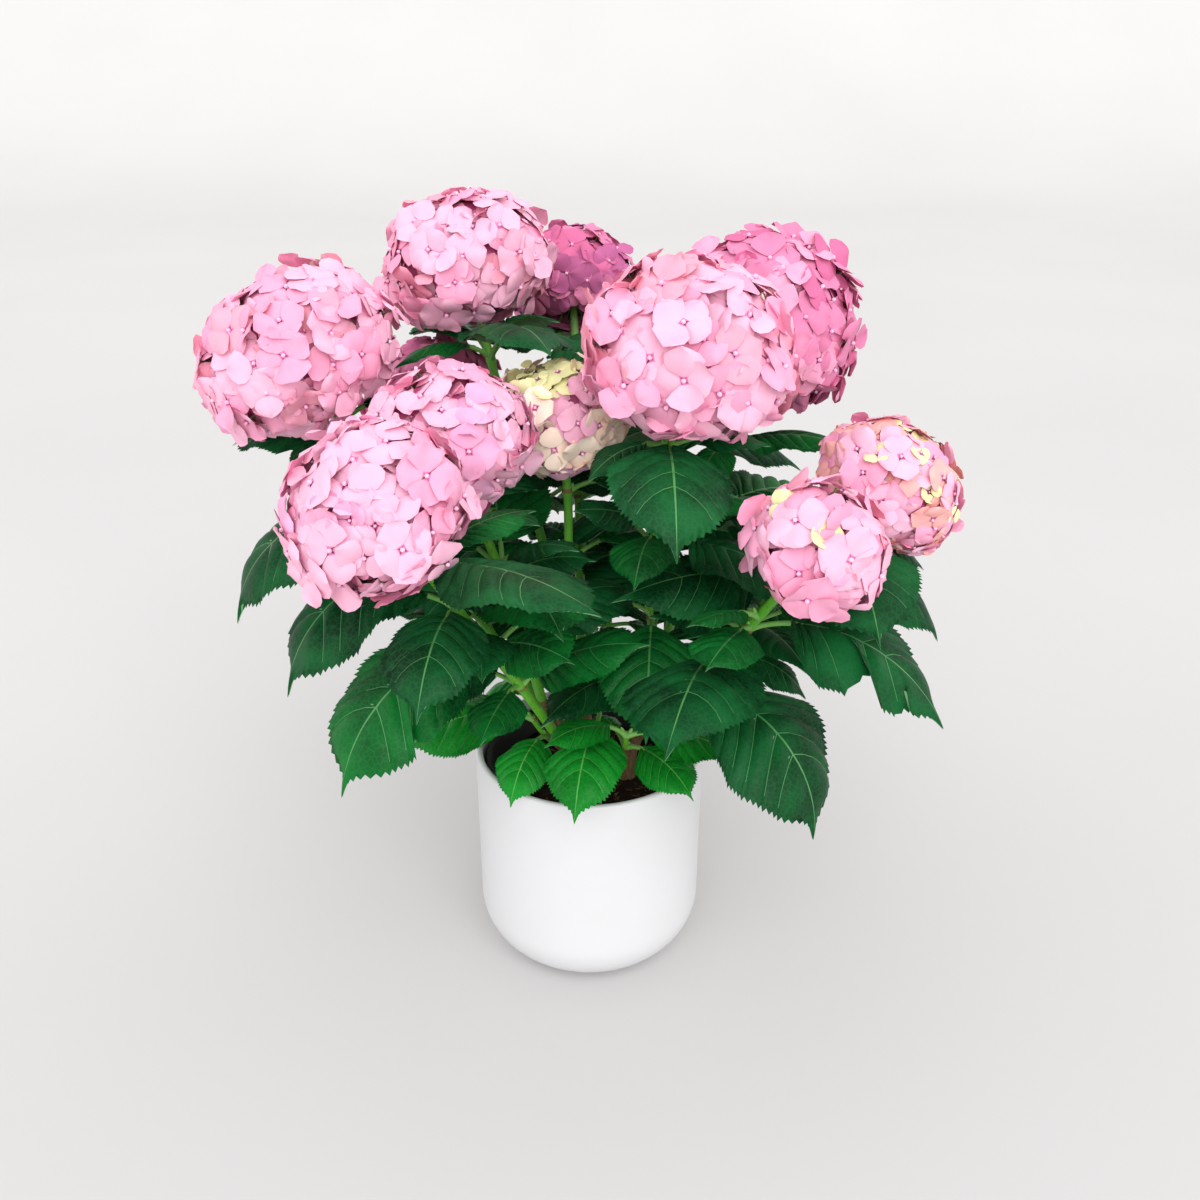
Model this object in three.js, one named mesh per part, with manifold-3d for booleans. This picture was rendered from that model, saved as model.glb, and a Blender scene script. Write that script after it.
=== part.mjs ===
// Potted mophead hydrangea: a white glazed cover pot with a nursery pot inside it, three woody canes,
// twelve flowering stems with pairs of leaves, four leafy sprouts at the foot, and twelve round blooms.
// Millimetres, +Z up. The origin is the centre of the pot's flat underside, and -Y is the front.
// Every turn is an angle in degrees seen from above, from +X (right) towards +Y (back).

import * as THREE from "three";
import { mergeVertices } from "three/addons/utils/BufferGeometryUtils.js";
import Module from "manifold-3d";

const wasm = await Module();
wasm.setup();

// ---------------------------------------------------------------- driving sizes

const SEAT = 0.3; // clearance between pieces that touch on the plant
const UP = new THREE.Vector3(0, 0, 1);

const POT = { radius: 85, height: 172, wall: 5, corner: 44, sides: 36 };
const NURSERY = { top: 74.5, foot: 55, footHeight: 8.15, drop: 8, wall: 1.6, lip: 3, sides: 28 };
const COMPOST = { level: 150, edgeDrop: 5, flatRadius: 48, sides: 24 };

// A cane is a short woody stem: its foot on the compost, its length, how it leans and where to.
const CANE = { footRadius: 7, neckRadius: 5.2, flare: 1.45, flareHeight: 14, sides: 8, steps: 6 };
const CANES = {
  left: { foot: [-11, -19], length: 62, lean: 17, turn: -150 },
  right: { foot: [28, -8], length: 54, lean: 18, turn: -15 },
  back: { foot: [-4, 27], length: 58, lean: 14, turn: 100 },
};
const FORK_STEP = 0.17; // share of a cane's length between one stem's fork and the next one's

const STEM = { base: 3.7, neck: 2.9, sides: 6, startLift: 4, handle: 0.36, steps: 4 };
const BARE_BELOW = 14; // length of upper stem below the lowest pair of a mass

// A leaf is a petiole and an ovate blade that leaves its stem rising and bends down under its weight.
const LEAF = {
  petiole: 30,
  petioleRadius: 1.7,
  rise: 28, // degrees above level where it leaves the stem
  width: 0.36, // half width as a share of the blade's length
  camber: 0.1, // how far the blade's edges fall, as a share of its length
  thickness: 0.014, // as a share of the blade's length
  stations: [0, 0.12, 0.34, 0.6, 0.84, 1], // along the blade
};
const TEST = { along: 14, across: 5, gap: 7.4, stemGap: 8, bloomGap: 4, potGap: 6, petioleGap: 5 };

// What a leaf tries in turn, in degrees, when something is in its way: a turn aside, and a droop.
const TRIES = [
  [0, 0], [0, 14], [0, -14], [14, 0], [-14, 0], [14, 16], [-14, 16], [14, -16], [-14, -16],
  [26, 0], [-26, 0], [26, 18], [-26, 18], [0, 30], [0, -30], [26, -24], [-26, -24], [38, 10], [-38, 10],
];
const SMALLER = [1, 0.8, 0.62, 0.5]; // sizes tried, as shares of the leaf's own length

// A bloom is a dome of florets. Its height above and below its widest is a share of its radius.
const BLOOM = { crown: 0.84, skirt: 0.64, swell: 5, neckBelow: 8, detail: 4 };
const SMALL_BLOOM = { radius: 56, detail: 3 }; // any bloom under this radius

// The flowering stems, in the order in which they leave their canes, the highest first. turn, reach and
// height place the bloom's middle; bloom is its radius, tall its height against the others' and lean the
// tilt of its axis. Each pair of leaves is [distance below the bloom, turn, blade length, droop, droop of
// the opposite leaf], the highest pair first.
const FLOWERING = [
  { name: "front_right", cane: "right", turn: -43, reach: 85, height: 483, bloom: 65, lean: 14, tall: 1,
    petals: 0xf6b3d2,
    pairs: [[18, -88, 102, 62, 35], [90, -20, 96, 45, 50], [148, -92, 92, 60, 30], [198, 20, 84, 40, 40]] },
  { name: "front_left_high", cane: "left", turn: -136, reach: 117, height: 434, bloom: 50, lean: 22, tall: 1,
    petals: 0xf5add0,
    pairs: [[16, 66, 88, 30, 30], [74, 96, 100, 30, 40], [128, 60, 96, 40, 60]] },
  { name: "middle", cane: "left", turn: -133, reach: 25, height: 429, bloom: 41, lean: 6, tall: 1.1,
    petals: 0xf1e0c4,
    pairs: [[14, 8, 84, 56, 30], [66, 14, 92, 50, 40], [108, 0, 80, 40, 40], [148, -36, 72, 30, 30]] },
  { name: "left", cane: "left", turn: -177, reach: 185, height: 468, bloom: 63, lean: 28, tall: 1,
    petals: 0xf3a6c8,
    pairs: [[16, 160, 88, 40, 35], [76, -155, 126, 84, 20], [124, -144, 130, 82, 30], [174, 130, 92, 50, 20]] },
  { name: "front_left_low", cane: "left", turn: -121, reach: 213, height: 431, bloom: 50, lean: 36, tall: 1,
    petals: 0xf7b8d8,
    pairs: [[20, -42, 106, 12, 70], [66, -96, 80, 60, 50], [120, -134, 120, 84, 40], [172, 160, 84, 60, 30]] },
  { name: "far_right", cane: "right", turn: -19, reach: 201, height: 400, bloom: 47, lean: 38, tall: 1,
    petals: 0xefa3ae,
    pairs: [[16, -100, 90, 50, 60], [56, 6, 100, 80, 20], [108, -174, 90, 20, 30], [154, 40, 84, 30, 30]] },
  { name: "low_right", cane: "right", turn: -48, reach: 197, height: 392, bloom: 41, lean: 34, tall: 1.1,
    petals: 0xf5aed3,
    pairs: [[48, -14, 120, 66, 30], [94, -104, 110, 24, 30], [144, -40, 126, 96, 20]] },
  { name: "back_right", cane: "right", turn: 31, reach: 141, height: 466, bloom: 68, lean: 16, tall: 1.2,
    petals: 0xe0709f,
    pairs: [[24, -30, 74, 14, 30], [78, 35, 110, 50, 30], [134, -50, 104, 45, 30], [188, 50, 96, 50, 30]] },
  { name: "high_left", cane: "back", turn: 138, reach: 112, height: 509, bloom: 60, lean: 18, tall: 1,
    petals: 0xf4abcb,
    pairs: [[18, -70, 100, 50, 30], [76, 80, 112, 30, 35], [130, 165, 112, 50, 30], [184, 80, 96, 40, 30]] },
  { name: "back", cane: "back", turn: 94, reach: 182, height: 478, bloom: 48, lean: 30, tall: 1,
    petals: 0xd76fae,
    pairs: [[14, -80, 100, 52, 30], [72, 100, 112, 50, 30], [130, 10, 110, 40, 40], [186, 95, 96, 60, 30]] },
  { name: "rear_left", cane: "back", turn: 133, reach: 177, height: 400, bloom: 52, lean: 38, tall: 1,
    petals: 0xdb6f9b,
    pairs: [[14, 170, 108, 50, 40], [64, 100, 110, 60, 30], [114, 175, 105, 45, 30], [160, 120, 92, 60, 30]] },
  { name: "rear_right", cane: "back", turn: 71, reach: 180, height: 400, bloom: 52, lean: 38, tall: 1,
    petals: 0xf0a0c4,
    pairs: [[14, 40, 108, 50, 40], [64, 120, 110, 60, 30], [114, 25, 105, 45, 30], [162, 80, 92, 60, 30]] },
];

// Leafy sprouts with no bloom, low on the canes: where each tip is, and its pairs as above.
const SPROUTS = [
  { name: "front_left", cane: "left", turn: -140, reach: 52, height: 214,
    pairs: [[2, -168, 80, 50, 25], [22, -112, 60, 70, 30]] },
  { name: "front", cane: "left", turn: -82, reach: 40, height: 206,
    pairs: [[2, -98, 80, 82, 20], [22, -8, 60, 20, 20]] },
  { name: "right", cane: "right", turn: -64, reach: 62, height: 214,
    pairs: [[2, -150, 66, 60, 20], [26, -50, 60, 50, 20]] },
  { name: "back", cane: "back", turn: 110, reach: 62, height: 214,
    pairs: [[2, 95, 80, 70, 20], [26, 175, 72, 60, 40]] },
];

// ---------------------------------------------------------------- small tools

const rad = THREE.MathUtils.degToRad;

// A direction from its turn and its rise above level, in degrees.
function heading(turn, rise) {
  const level = Math.cos(rad(rise));
  return new THREE.Vector3(level * Math.cos(rad(turn)), level * Math.sin(rad(turn)), Math.sin(rad(rise)));
}

// Numbers from 0 to 1 that come out the same on every run for the same seed.
function numbersFrom(seed) {
  let state = seed >>> 0;
  return () => {
    state = (Math.imul(state, 1664525) + 1013904223) >>> 0;
    return state / 4294967296;
  };
}

// A closed geometry as a solid that can be joined and cut.
function solidOf(geometry) {
  const bare = geometry.clone();
  bare.deleteAttribute("normal");
  bare.deleteAttribute("uv");
  const merged = mergeVertices(bare, 1e-4);
  return new wasm.Manifold(new wasm.Mesh({
    numProp: 3,
    vertProperties: new Float32Array(merged.attributes.position.array),
    triVerts: new Uint32Array(merged.index.array),
  }));
}

// The outer skin of a fused solid: sealed hollows are filled and loose scraps dropped.
function outerSkin(fused) {
  return fused.decompose().reduce((largest, body) => (body.volume() > largest.volume() ? body : largest));
}

function fuse(solids) {
  return outerSkin(solids.reduce((whole, solid) => whole.add(solid)));
}

function geometryOf(solid) {
  const mesh = solid.getMesh();
  const positions = new Float32Array(mesh.numVert * 3);
  for (let i = 0; i < mesh.numVert; i++) {
    positions.set(mesh.vertProperties.subarray(i * mesh.numProp, i * mesh.numProp + 3), i * 3);
  }
  const geometry = new THREE.BufferGeometry();
  geometry.setAttribute("position", new THREE.BufferAttribute(positions, 3));
  geometry.setIndex(new THREE.BufferAttribute(new Uint32Array(mesh.triVerts), 1));
  geometry.computeVertexNormals();
  return geometry;
}

// Moves every vertex of a geometry to place(x, y, z).
function reshape(geometry, place) {
  const at = geometry.attributes.position;
  for (let i = 0; i < at.count; i++) {
    const p = place(at.getX(i), at.getY(i), at.getZ(i));
    at.setXYZ(i, p.x, p.y, p.z);
  }
  return geometry;
}

// A limb: a cylinder bent along a curve, from share `from` to share `to` of its length, with radiusAt(share).
function limb(curve, from, to, radiusAt, sides, steps) {
  const across = new THREE.Vector3();
  const forward = new THREE.Vector3();
  return reshape(new THREE.CylinderGeometry(1, 1, 1, sides, steps), (x, y, z) => {
    const share = from + (to - from) * (y + 0.5);
    const tangent = curve.getTangentAt(share);
    across.crossVectors(tangent, new THREE.Vector3(0, 1, 0)).normalize();
    forward.crossVectors(across, tangent);
    const radius = radiusAt(share);
    return curve.getPointAt(share).addScaledVector(across, x * radius).addScaledVector(forward, z * radius);
  });
}

// A profile of [radius, height] points turned round the Z axis.
function turned(profile, sides) {
  const points = profile.map(([radius, height]) => new THREE.Vector2(radius, height));
  return new THREE.LatheGeometry(points, sides).rotateX(Math.PI / 2);
}

// ---------------------------------------------------------------- pot, nursery pot and compost

// Points of a quarter round about (radius, height), from pointing down to pointing outwards.
function cornerArc(radius, height, size, steps) {
  return Array.from({ length: steps + 1 }, (_, i) => {
    const angle = (Math.PI / 2) * (i / steps);
    return [radius + size * Math.sin(angle), height - size * Math.cos(angle)];
  });
}

function potGeometry() {
  const { radius, height, wall, corner } = POT;
  const centre = radius - corner;
  const outside = cornerArc(centre, corner, corner, 5);
  const inside = cornerArc(centre, corner, corner - wall, 4).reverse();
  const rim = [[radius, height - 2], [radius - 1, height], [radius - wall + 1, height], [radius - wall, height - 2]];
  return turned([[0, 0], ...outside, ...rim, ...inside, [0, wall]], POT.sides);
}

function nurseryGeometry() {
  const { top, foot, footHeight, wall, lip } = NURSERY;
  const rim = POT.height - NURSERY.drop;
  return turned([
    [0, footHeight], [foot, footHeight], [top, rim - lip], [top + lip, rim - lip], [top + lip, rim],
    [top - wall, rim], [foot - wall, footHeight + wall], [0, footHeight + wall],
  ], NURSERY.sides);
}

function compostGeometry() {
  const { top, foot, footHeight, wall } = NURSERY;
  const floor = footHeight + wall + SEAT;
  const edge = COMPOST.level - COMPOST.edgeDrop;
  const share = (edge - footHeight) / (POT.height - NURSERY.drop - footHeight);
  const edgeRadius = foot + (top - foot) * share - wall - 2 * SEAT;
  return turned([
    [0, floor], [foot - wall - 2 * SEAT, floor], [edgeRadius, edge],
    [COMPOST.flatRadius, COMPOST.level], [0, COMPOST.level],
  ], COMPOST.sides);
}

// ---------------------------------------------------------------- canes and stems

function caneCurve({ foot, length, lean, turn }) {
  const base = new THREE.Vector3(foot[0], foot[1], COMPOST.level + SEAT);
  const tip = base.clone().addScaledVector(heading(turn, 90 - lean), length);
  const upright = base.clone().addScaledVector(UP, length * 0.5);
  return new THREE.QuadraticBezierCurve3(base, upright, tip);
}

function caneRadius(share, length) {
  const flare = Math.max(0, 1 - (share * length) / CANE.flareHeight);
  const taper = THREE.MathUtils.lerp(CANE.footRadius, CANE.neckRadius, share);
  return taper * (1 + (CANE.flare - 1) * flare * flare);
}

// The cane as a solid, or with a margin the room that it needs.
function caneSolid(name, margin) {
  const cane = CANES[name];
  const curve = caneCurve(cane);
  const foot = curve.getPointAt(0).z;
  const body = limb(curve, 0, 1, (share) => caneRadius(share, cane.length) + margin, CANE.sides, CANE.steps);
  // The foot is cut flat at the level of the compost.
  reshape(body, (x, y, z) => new THREE.Vector3(x, y, Math.max(z, foot)));
  const knuckle = new THREE.SphereGeometry(CANE.neckRadius + 1.6 + margin, 8, 5);
  const tip = curve.getPointAt(1);
  knuckle.translate(tip.x, tip.y, tip.z);
  return solidOf(body).add(solidOf(knuckle));
}

// Where the nth stem of a cane leaves it.
function forkPoint(cane, n) {
  return caneCurve(CANES[cane]).getPointAt(1 - n * FORK_STEP);
}

// The line that a stem follows from its fork to a point, which it reaches along an axis.
function stemCurve(fork, neck, axis) {
  const way = neck.clone().sub(fork);
  const handle = way.length() * STEM.handle;
  const turn = THREE.MathUtils.radToDeg(Math.atan2(way.y, way.x));
  const rise = THREE.MathUtils.radToDeg(Math.asin(way.z / way.length()));
  const start = fork.clone().addScaledVector(heading(turn, 0), CANE.neckRadius * 0.7);
  return new THREE.CubicBezierCurve3(
    start,
    start.clone().addScaledVector(heading(turn, rise + STEM.startLift), handle),
    neck.clone().addScaledVector(axis, -handle),
    neck,
  );
}

function stemRadius(share) {
  return THREE.MathUtils.lerp(STEM.base, STEM.neck, share);
}

// ---------------------------------------------------------------- leaves

// The place and frame on a leaf's midrib at a share of its whole length. The midrib is an arc in an
// upright plane, from its rise at the stem to its fall at the tip.
function midrib(leaf, share) {
  const reach = LEAF.petiole * leaf.petioleShare + leaf.length;
  const bend = rad(-leaf.droop - leaf.rise);
  const start = rad(leaf.rise);
  const now = start + bend * share;
  const out = (reach * (Math.sin(now) - Math.sin(start))) / bend;
  const climb = (-reach * (Math.cos(now) - Math.cos(start))) / bend;
  const level = heading(leaf.turn, 0);
  const point = leaf.root.clone().addScaledVector(level, out).addScaledVector(UP, climb);
  const tangent = level.clone().multiplyScalar(Math.cos(now)).addScaledVector(UP, Math.sin(now));
  const upright = level.clone().multiplyScalar(-Math.sin(now)).addScaledVector(UP, Math.cos(now));
  const normal = upright.applyAxisAngle(tangent, rad(leaf.roll));
  const side = new THREE.Vector3().crossVectors(tangent, normal);
  return { point, tangent, normal, side };
}

// Half the blade's width at a share of the blade, as a share of its widest: ovate, with a drawn-out tip.
function outline(share) {
  const body = Math.sin(Math.PI * Math.pow(share, 0.72));
  const tip = THREE.MathUtils.smoothstep(share, 0.72, 1);
  return Math.pow(Math.max(body, 0), 0.8) * (1 - 0.55 * tip);
}

function petiolePart(leaf) {
  const petiole = LEAF.petiole * leaf.petioleShare;
  return petiole / (petiole + leaf.length);
}

// A point of the blade: share along it, and across from -1 to 1.
function bladePoint(leaf, share, across) {
  const petiole = petiolePart(leaf);
  const { point, normal, side } = midrib(leaf, petiole + (1 - petiole) * share);
  const half = LEAF.width * leaf.length * outline(share);
  const fall = LEAF.camber * leaf.length * outline(share) * across * across;
  return point.addScaledVector(side, half * across).addScaledVector(normal, -fall);
}

// A leaf as one thin closed solid of four long faces: left edge, upper side, right edge, underside.
function leafSolid(leaf) {
  const petiole = petiolePart(leaf);
  const stations = [0, ...LEAF.stations.map((share) => petiole + (1 - petiole) * share)];
  const steps = stations.length - 1;
  const thick = (LEAF.thickness * leaf.length) / 2;
  return solidOf(reshape(new THREE.CylinderGeometry(1, 1, 1, 4, steps), (x, y, z) => {
    const share = stations[Math.round((y + 0.5) * steps)];
    const blade = Math.max(0, (share - petiole) / (1 - petiole));
    const { point, normal, side } = midrib(leaf, share);
    const half = LEAF.width * leaf.length * outline(blade) + LEAF.petioleRadius * (1 - 0.8 * blade);
    const depth = THREE.MathUtils.lerp(LEAF.petioleRadius, thick, Math.min(1, blade * 4));
    const fall = LEAF.camber * leaf.length * outline(blade) * x * x;
    return point.addScaledVector(side, x * half).addScaledVector(normal, z * depth - fall);
  }));
}

// ---------------------------------------------------------------- room for each leaf

// Everything that a leaf has to keep clear of: points with a radius, and the owner of each.
const taken = [];

function take(point, radius, owner) {
  taken.push({ x: point.x, y: point.y, z: point.z, radius, owner });
}

// Points all over a blade, and along its petiole.
function leafPoints(leaf) {
  const points = [];
  for (let i = 0; i <= TEST.along; i++) {
    const share = i / TEST.along;
    const rows = outline(share) > 0.35 ? TEST.across : 1;
    for (let j = -rows; j <= rows; j++) points.push(bladePoint(leaf, share, j / rows));
  }
  const petiole = [0.45, 0.75].map((share) => midrib(leaf, petiolePart(leaf) * share).point);
  return { blade: points, petiole };
}

function hitsPoint(point, gap, skipOwner) {
  return taken.some((t) => {
    if (t.owner === skipOwner) return false;
    const dx = t.x - point.x;
    const dy = t.y - point.y;
    const dz = t.z - point.z;
    const reach = t.radius + gap;
    return dx * dx + dy * dy + dz * dz < reach * reach;
  });
}

// A bloom's room: round across its axis, taller above its middle than below.
function insideBloom(point, bloom, margin) {
  const offset = point.clone().sub(bloom.centre);
  const along = offset.dot(bloom.axis);
  const across = Math.sqrt(Math.max(0, offset.lengthSq() - along * along));
  const half = bloom.radius * bloom.tall * (along > 0 ? BLOOM.crown : BLOOM.skirt) + margin;
  return (across / (bloom.radius + margin)) ** 2 + (along / half) ** 2 < 1;
}

function insidePot(point, margin) {
  return Math.hypot(point.x, point.y) < POT.radius + margin && point.z < POT.height + margin;
}

function isFree(leaf, blooms, owner) {
  const { blade, petiole } = leafPoints(leaf);
  const blocked = (p) => insidePot(p, TEST.potGap) || blooms.some((b) => insideBloom(p, b, TEST.bloomGap));
  return !blade.some((p) => blocked(p) || hitsPoint(p, TEST.gap, null))
    && !petiole.some((p) => hitsPoint(p, TEST.petioleGap, owner));
}

// The leaf as it fits: as asked if that is free, or else after the first try that is. Null if none is.
function fitted(leaf, blooms, owner) {
  for (const size of SMALLER) {
    for (const [aside, more] of TRIES) {
      const tried = { ...leaf, length: leaf.length * size, turn: leaf.turn + aside, droop: leaf.droop + more,
        rise: leaf.rise - more * 0.6 };
      if (isFree(tried, blooms, owner)) return tried;
    }
  }
  return null;
}

// ---------------------------------------------------------------- the plant's plan

// A flowering stem's or sprout's curve, its bloom if it has one, and where its lowest pair leaves it.
function planShoot(spec, index, forkOrder) {
  const centre = heading(spec.turn, 0).multiplyScalar(spec.reach).setZ(spec.height);
  const axis = heading(spec.turn, 90 - (spec.lean ?? 20));
  const bloom = spec.bloom ? { centre, axis, radius: spec.bloom, tall: spec.tall } : null;
  const neck = centre.clone();
  if (bloom) neck.addScaledVector(axis, -(bloom.radius * bloom.tall * BLOOM.skirt + BLOOM.neckBelow));
  const curve = stemCurve(forkPoint(spec.cane, forkOrder), neck, axis);
  const length = curve.getLength();
  const lowest = spec.pairs[spec.pairs.length - 1][0];
  const split = Math.max(0.12, 1 - (lowest + BARE_BELOW) / length);
  return { ...spec, index, curve, length, bloom, neck, split };
}

// The leaves of one shoot: opposite pairs, each leaf with its own small seeded difference.
function leavesOf(shoot, blooms) {
  const random = numbersFrom(7919 * (shoot.index + 1));
  const around = (spread) => (random() * 2 - 1) * spread;
  const found = [];
  shoot.pairs.forEach(([below, turn, length, droop, oppositeDroop]) => {
    const share = 1 - below / shoot.length;
    [[turn, droop], [turn + 180, oppositeDroop]].forEach(([way, fall]) => {
      const leaf = {
        root: shoot.curve.getPointAt(Math.max(0.02, share)),
        turn: way + around(4),
        length: length * (1 + around(0.05)),
        droop: fall + around(4),
        rise: LEAF.rise + around(6),
        roll: around(12),
        petioleShare: length < 90 ? 0.6 : 1,
      };
      const fit = fitted(leaf, blooms, "stem " + shoot.index);
      if (!fit) return;
      found.push(fit);
      leafPoints(fit).blade.forEach((p) => take(p, 0, "leaf"));
      leafPoints(fit).petiole.forEach((p) => take(p, LEAF.petioleRadius, "leaf"));
    });
  });
  return found;
}

const forksUsed = { left: 0, right: 0, back: 0 };
const flowering = FLOWERING.map((spec, i) => planShoot(spec, i, forksUsed[spec.cane]++));
const sprouts = SPROUTS.map((spec, i) => planShoot(spec, FLOWERING.length + i, 3.4));
const blooms = flowering.map((shoot) => shoot.bloom);

Object.keys(CANES).forEach((name) => {
  const curve = caneCurve(CANES[name]);
  for (let i = 0; i <= 8; i++) take(curve.getPointAt(i / 8), CANE.footRadius, "cane");
});
[...flowering, ...sprouts].forEach((shoot) => {
  const beads = Math.ceil(shoot.length / 7);
  for (let i = 1; i <= beads; i++) {
    take(shoot.curve.getPointAt(i / beads), TEST.stemGap - TEST.gap, "stem " + shoot.index);
  }
});

// ---------------------------------------------------------------- blooms

// A bloom: one closed dome on its stalk. From place to place its surface stands out or sinks in by the
// swell, as the crowded florets do.
function bloomSolid(shoot) {
  const { bloom } = shoot;
  const random = numbersFrom(104729 + shoot.index);
  const turnTo = new THREE.Quaternion().setFromUnitVectors(UP, bloom.axis);
  const swells = new Map();
  const { detail } = bloom.radius < SMALL_BLOOM.radius ? SMALL_BLOOM : BLOOM;
  const dome = reshape(new THREE.IcosahedronGeometry(1, detail), (x, y, z) => {
    const key = [x, y, z].map((value) => Math.round(value * 1000)).join();
    if (!swells.has(key)) swells.set(key, (random() < 0.5 ? -1 : 1) * (0.6 + random() * 0.4));
    const size = bloom.radius - BLOOM.swell + BLOOM.swell * swells.get(key);
    const height = bloom.tall * (z > 0 ? BLOOM.crown : BLOOM.skirt);
    return new THREE.Vector3(x * size, y * size, z * size * height)
      .applyQuaternion(turnTo).add(bloom.centre);
  });
  const stalk = new THREE.LineCurve3(shoot.neck.clone().addScaledVector(bloom.axis, SEAT), bloom.centre);
  return fuse([solidOf(dome), solidOf(limb(stalk, 0, 1, () => STEM.neck, STEM.sides, 1))]);
}

// ---------------------------------------------------------------- the object

const plant = new THREE.Group();
plant.name = "potted_hydrangea";

const glaze = new THREE.MeshStandardMaterial({ color: 0xf2f1f0, roughness: 0.35, metalness: 0 });
const blackPlastic = new THREE.MeshStandardMaterial({ color: 0x151515, roughness: 0.6, metalness: 0 });
const peat = new THREE.MeshStandardMaterial({ color: 0x2c1d16, roughness: 0.95, metalness: 0 });
const bark = new THREE.MeshStandardMaterial({ color: 0x7a5a41, roughness: 0.85, metalness: 0 });
const greenStem = new THREE.MeshStandardMaterial({ color: 0x5c9a3c, roughness: 0.55, metalness: 0 });
const leafGreen = new THREE.MeshStandardMaterial({ color: 0x17603a, roughness: 0.5, metalness: 0 });
const youngLeaf = new THREE.MeshStandardMaterial({ color: 0x2c8a2e, roughness: 0.45, metalness: 0 });

function addPiece(name, geometry, material) {
  const mesh = new THREE.Mesh(geometry, material);
  mesh.name = name;
  plant.add(mesh);
}

addPiece("pot", potGeometry(), glaze);
addPiece("nursery_pot", nurseryGeometry(), blackPlastic);
addPiece("compost", compostGeometry(), peat);

// The room that the canes and bare stems need. Each new limb is cut clear of those that stand already.
let woodRoom = Object.keys(CANES).map((name) => caneSolid(name, SEAT)).reduce((all, cane) => all.add(cane));
Object.keys(CANES).forEach((name) => addPiece("cane_" + name, geometryOf(caneSolid(name, 0)), bark));

flowering.forEach((shoot) => {
  const stem = (margin) => solidOf(limb(shoot.curve, 0, shoot.split, (share) => stemRadius(share) + margin,
    STEM.sides, STEM.steps));
  addPiece("stem_" + shoot.name, geometryOf(outerSkin(stem(0).subtract(woodRoom))), greenStem);
  woodRoom = woodRoom.add(stem(SEAT));
});

[...flowering, ...sprouts].forEach((shoot) => {
  const from = shoot.bloom ? shoot.split + SEAT / shoot.length : 0;
  const stem = limb(shoot.curve, from, 1, (share) => stemRadius(share) * (shoot.bloom ? 1 : 0.7),
    STEM.sides, STEM.steps);
  const leaves = leavesOf(shoot, blooms).map(leafSolid);
  const mass = outerSkin(fuse([solidOf(stem), ...leaves]).subtract(woodRoom));
  const kind = shoot.bloom ? "leaves_" : "sprout_";
  addPiece(kind + shoot.name, geometryOf(mass), shoot.bloom ? leafGreen : youngLeaf);
});

flowering.forEach((shoot) => {
  const petals = new THREE.MeshStandardMaterial({ color: shoot.petals, roughness: 0.65, metalness: 0 });
  addPiece("bloom_" + shoot.name, geometryOf(bloomSolid(shoot)), petals);
});

export default plant;
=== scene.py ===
# Potted mophead hydrangea in flower, about 560 mm tall, in a white glazed cover pot.
# Sizes are in millimetres until add_piece, which makes them metres. -Y is the front, +Z is up.
# Every turn is an angle in degrees seen from above, from +X (right) towards +Y (back).

import math

import bpy
import numpy as np
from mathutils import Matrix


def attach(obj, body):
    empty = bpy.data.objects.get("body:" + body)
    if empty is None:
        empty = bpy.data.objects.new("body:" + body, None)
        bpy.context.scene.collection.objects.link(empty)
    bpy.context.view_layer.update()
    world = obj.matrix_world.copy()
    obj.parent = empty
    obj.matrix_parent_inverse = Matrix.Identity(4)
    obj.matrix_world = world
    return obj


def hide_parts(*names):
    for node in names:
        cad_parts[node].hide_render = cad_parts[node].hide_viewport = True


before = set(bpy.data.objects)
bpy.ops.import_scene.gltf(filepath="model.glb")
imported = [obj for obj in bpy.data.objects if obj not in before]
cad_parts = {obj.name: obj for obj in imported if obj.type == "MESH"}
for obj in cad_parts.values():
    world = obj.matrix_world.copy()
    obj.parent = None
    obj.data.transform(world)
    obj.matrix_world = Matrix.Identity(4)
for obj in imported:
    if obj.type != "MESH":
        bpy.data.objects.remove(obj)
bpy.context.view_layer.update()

# ------------------------------------------------------------------------------------ cover pot
# A plain straight-sided cover pot with a rounded foot: slip-cast white earthenware with a satin
# white glaze all over, but for the ground foot ring that it stands on.

POT = {"radius": 85, "height": 172, "wall": 5, "corner": 44}
POT_SIDES = 128
FOOT_RING = {"inner": 35, "recess": 1.4}
GLAZE = (0xDBDBDD, 0xD6D6D7)
BISQUE = (0xD9CFC2, 0xC8BBAB)


def linear(code):
    """An sRGB hex colour as linear RGBA."""
    parts = [((code >> shift) & 255) / 255 for shift in (16, 8, 0)]
    return [c / 12.92 if c <= 0.04045 else ((c + 0.055) / 1.055) ** 2.4 for c in parts] + [1.0]


def add_node(material, kind, settings=(), values=(), links=(), feeds=()):
    """Adds one node, with its settings, its sockets' values, the outputs linked to its sockets and
    the sockets that its own outputs feed."""
    tree = material.node_tree
    node = tree.nodes.new(kind)
    for name, value in dict(settings).items():
        setattr(node, name, value)
    for socket, value in dict(values).items():
        node.inputs[socket].default_value = value
    for socket, output in dict(links).items():
        tree.links.new(output, node.inputs[socket])
    for output, socket in dict(feeds).items():
        tree.links.new(node.outputs[output], socket)
    return node


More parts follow.
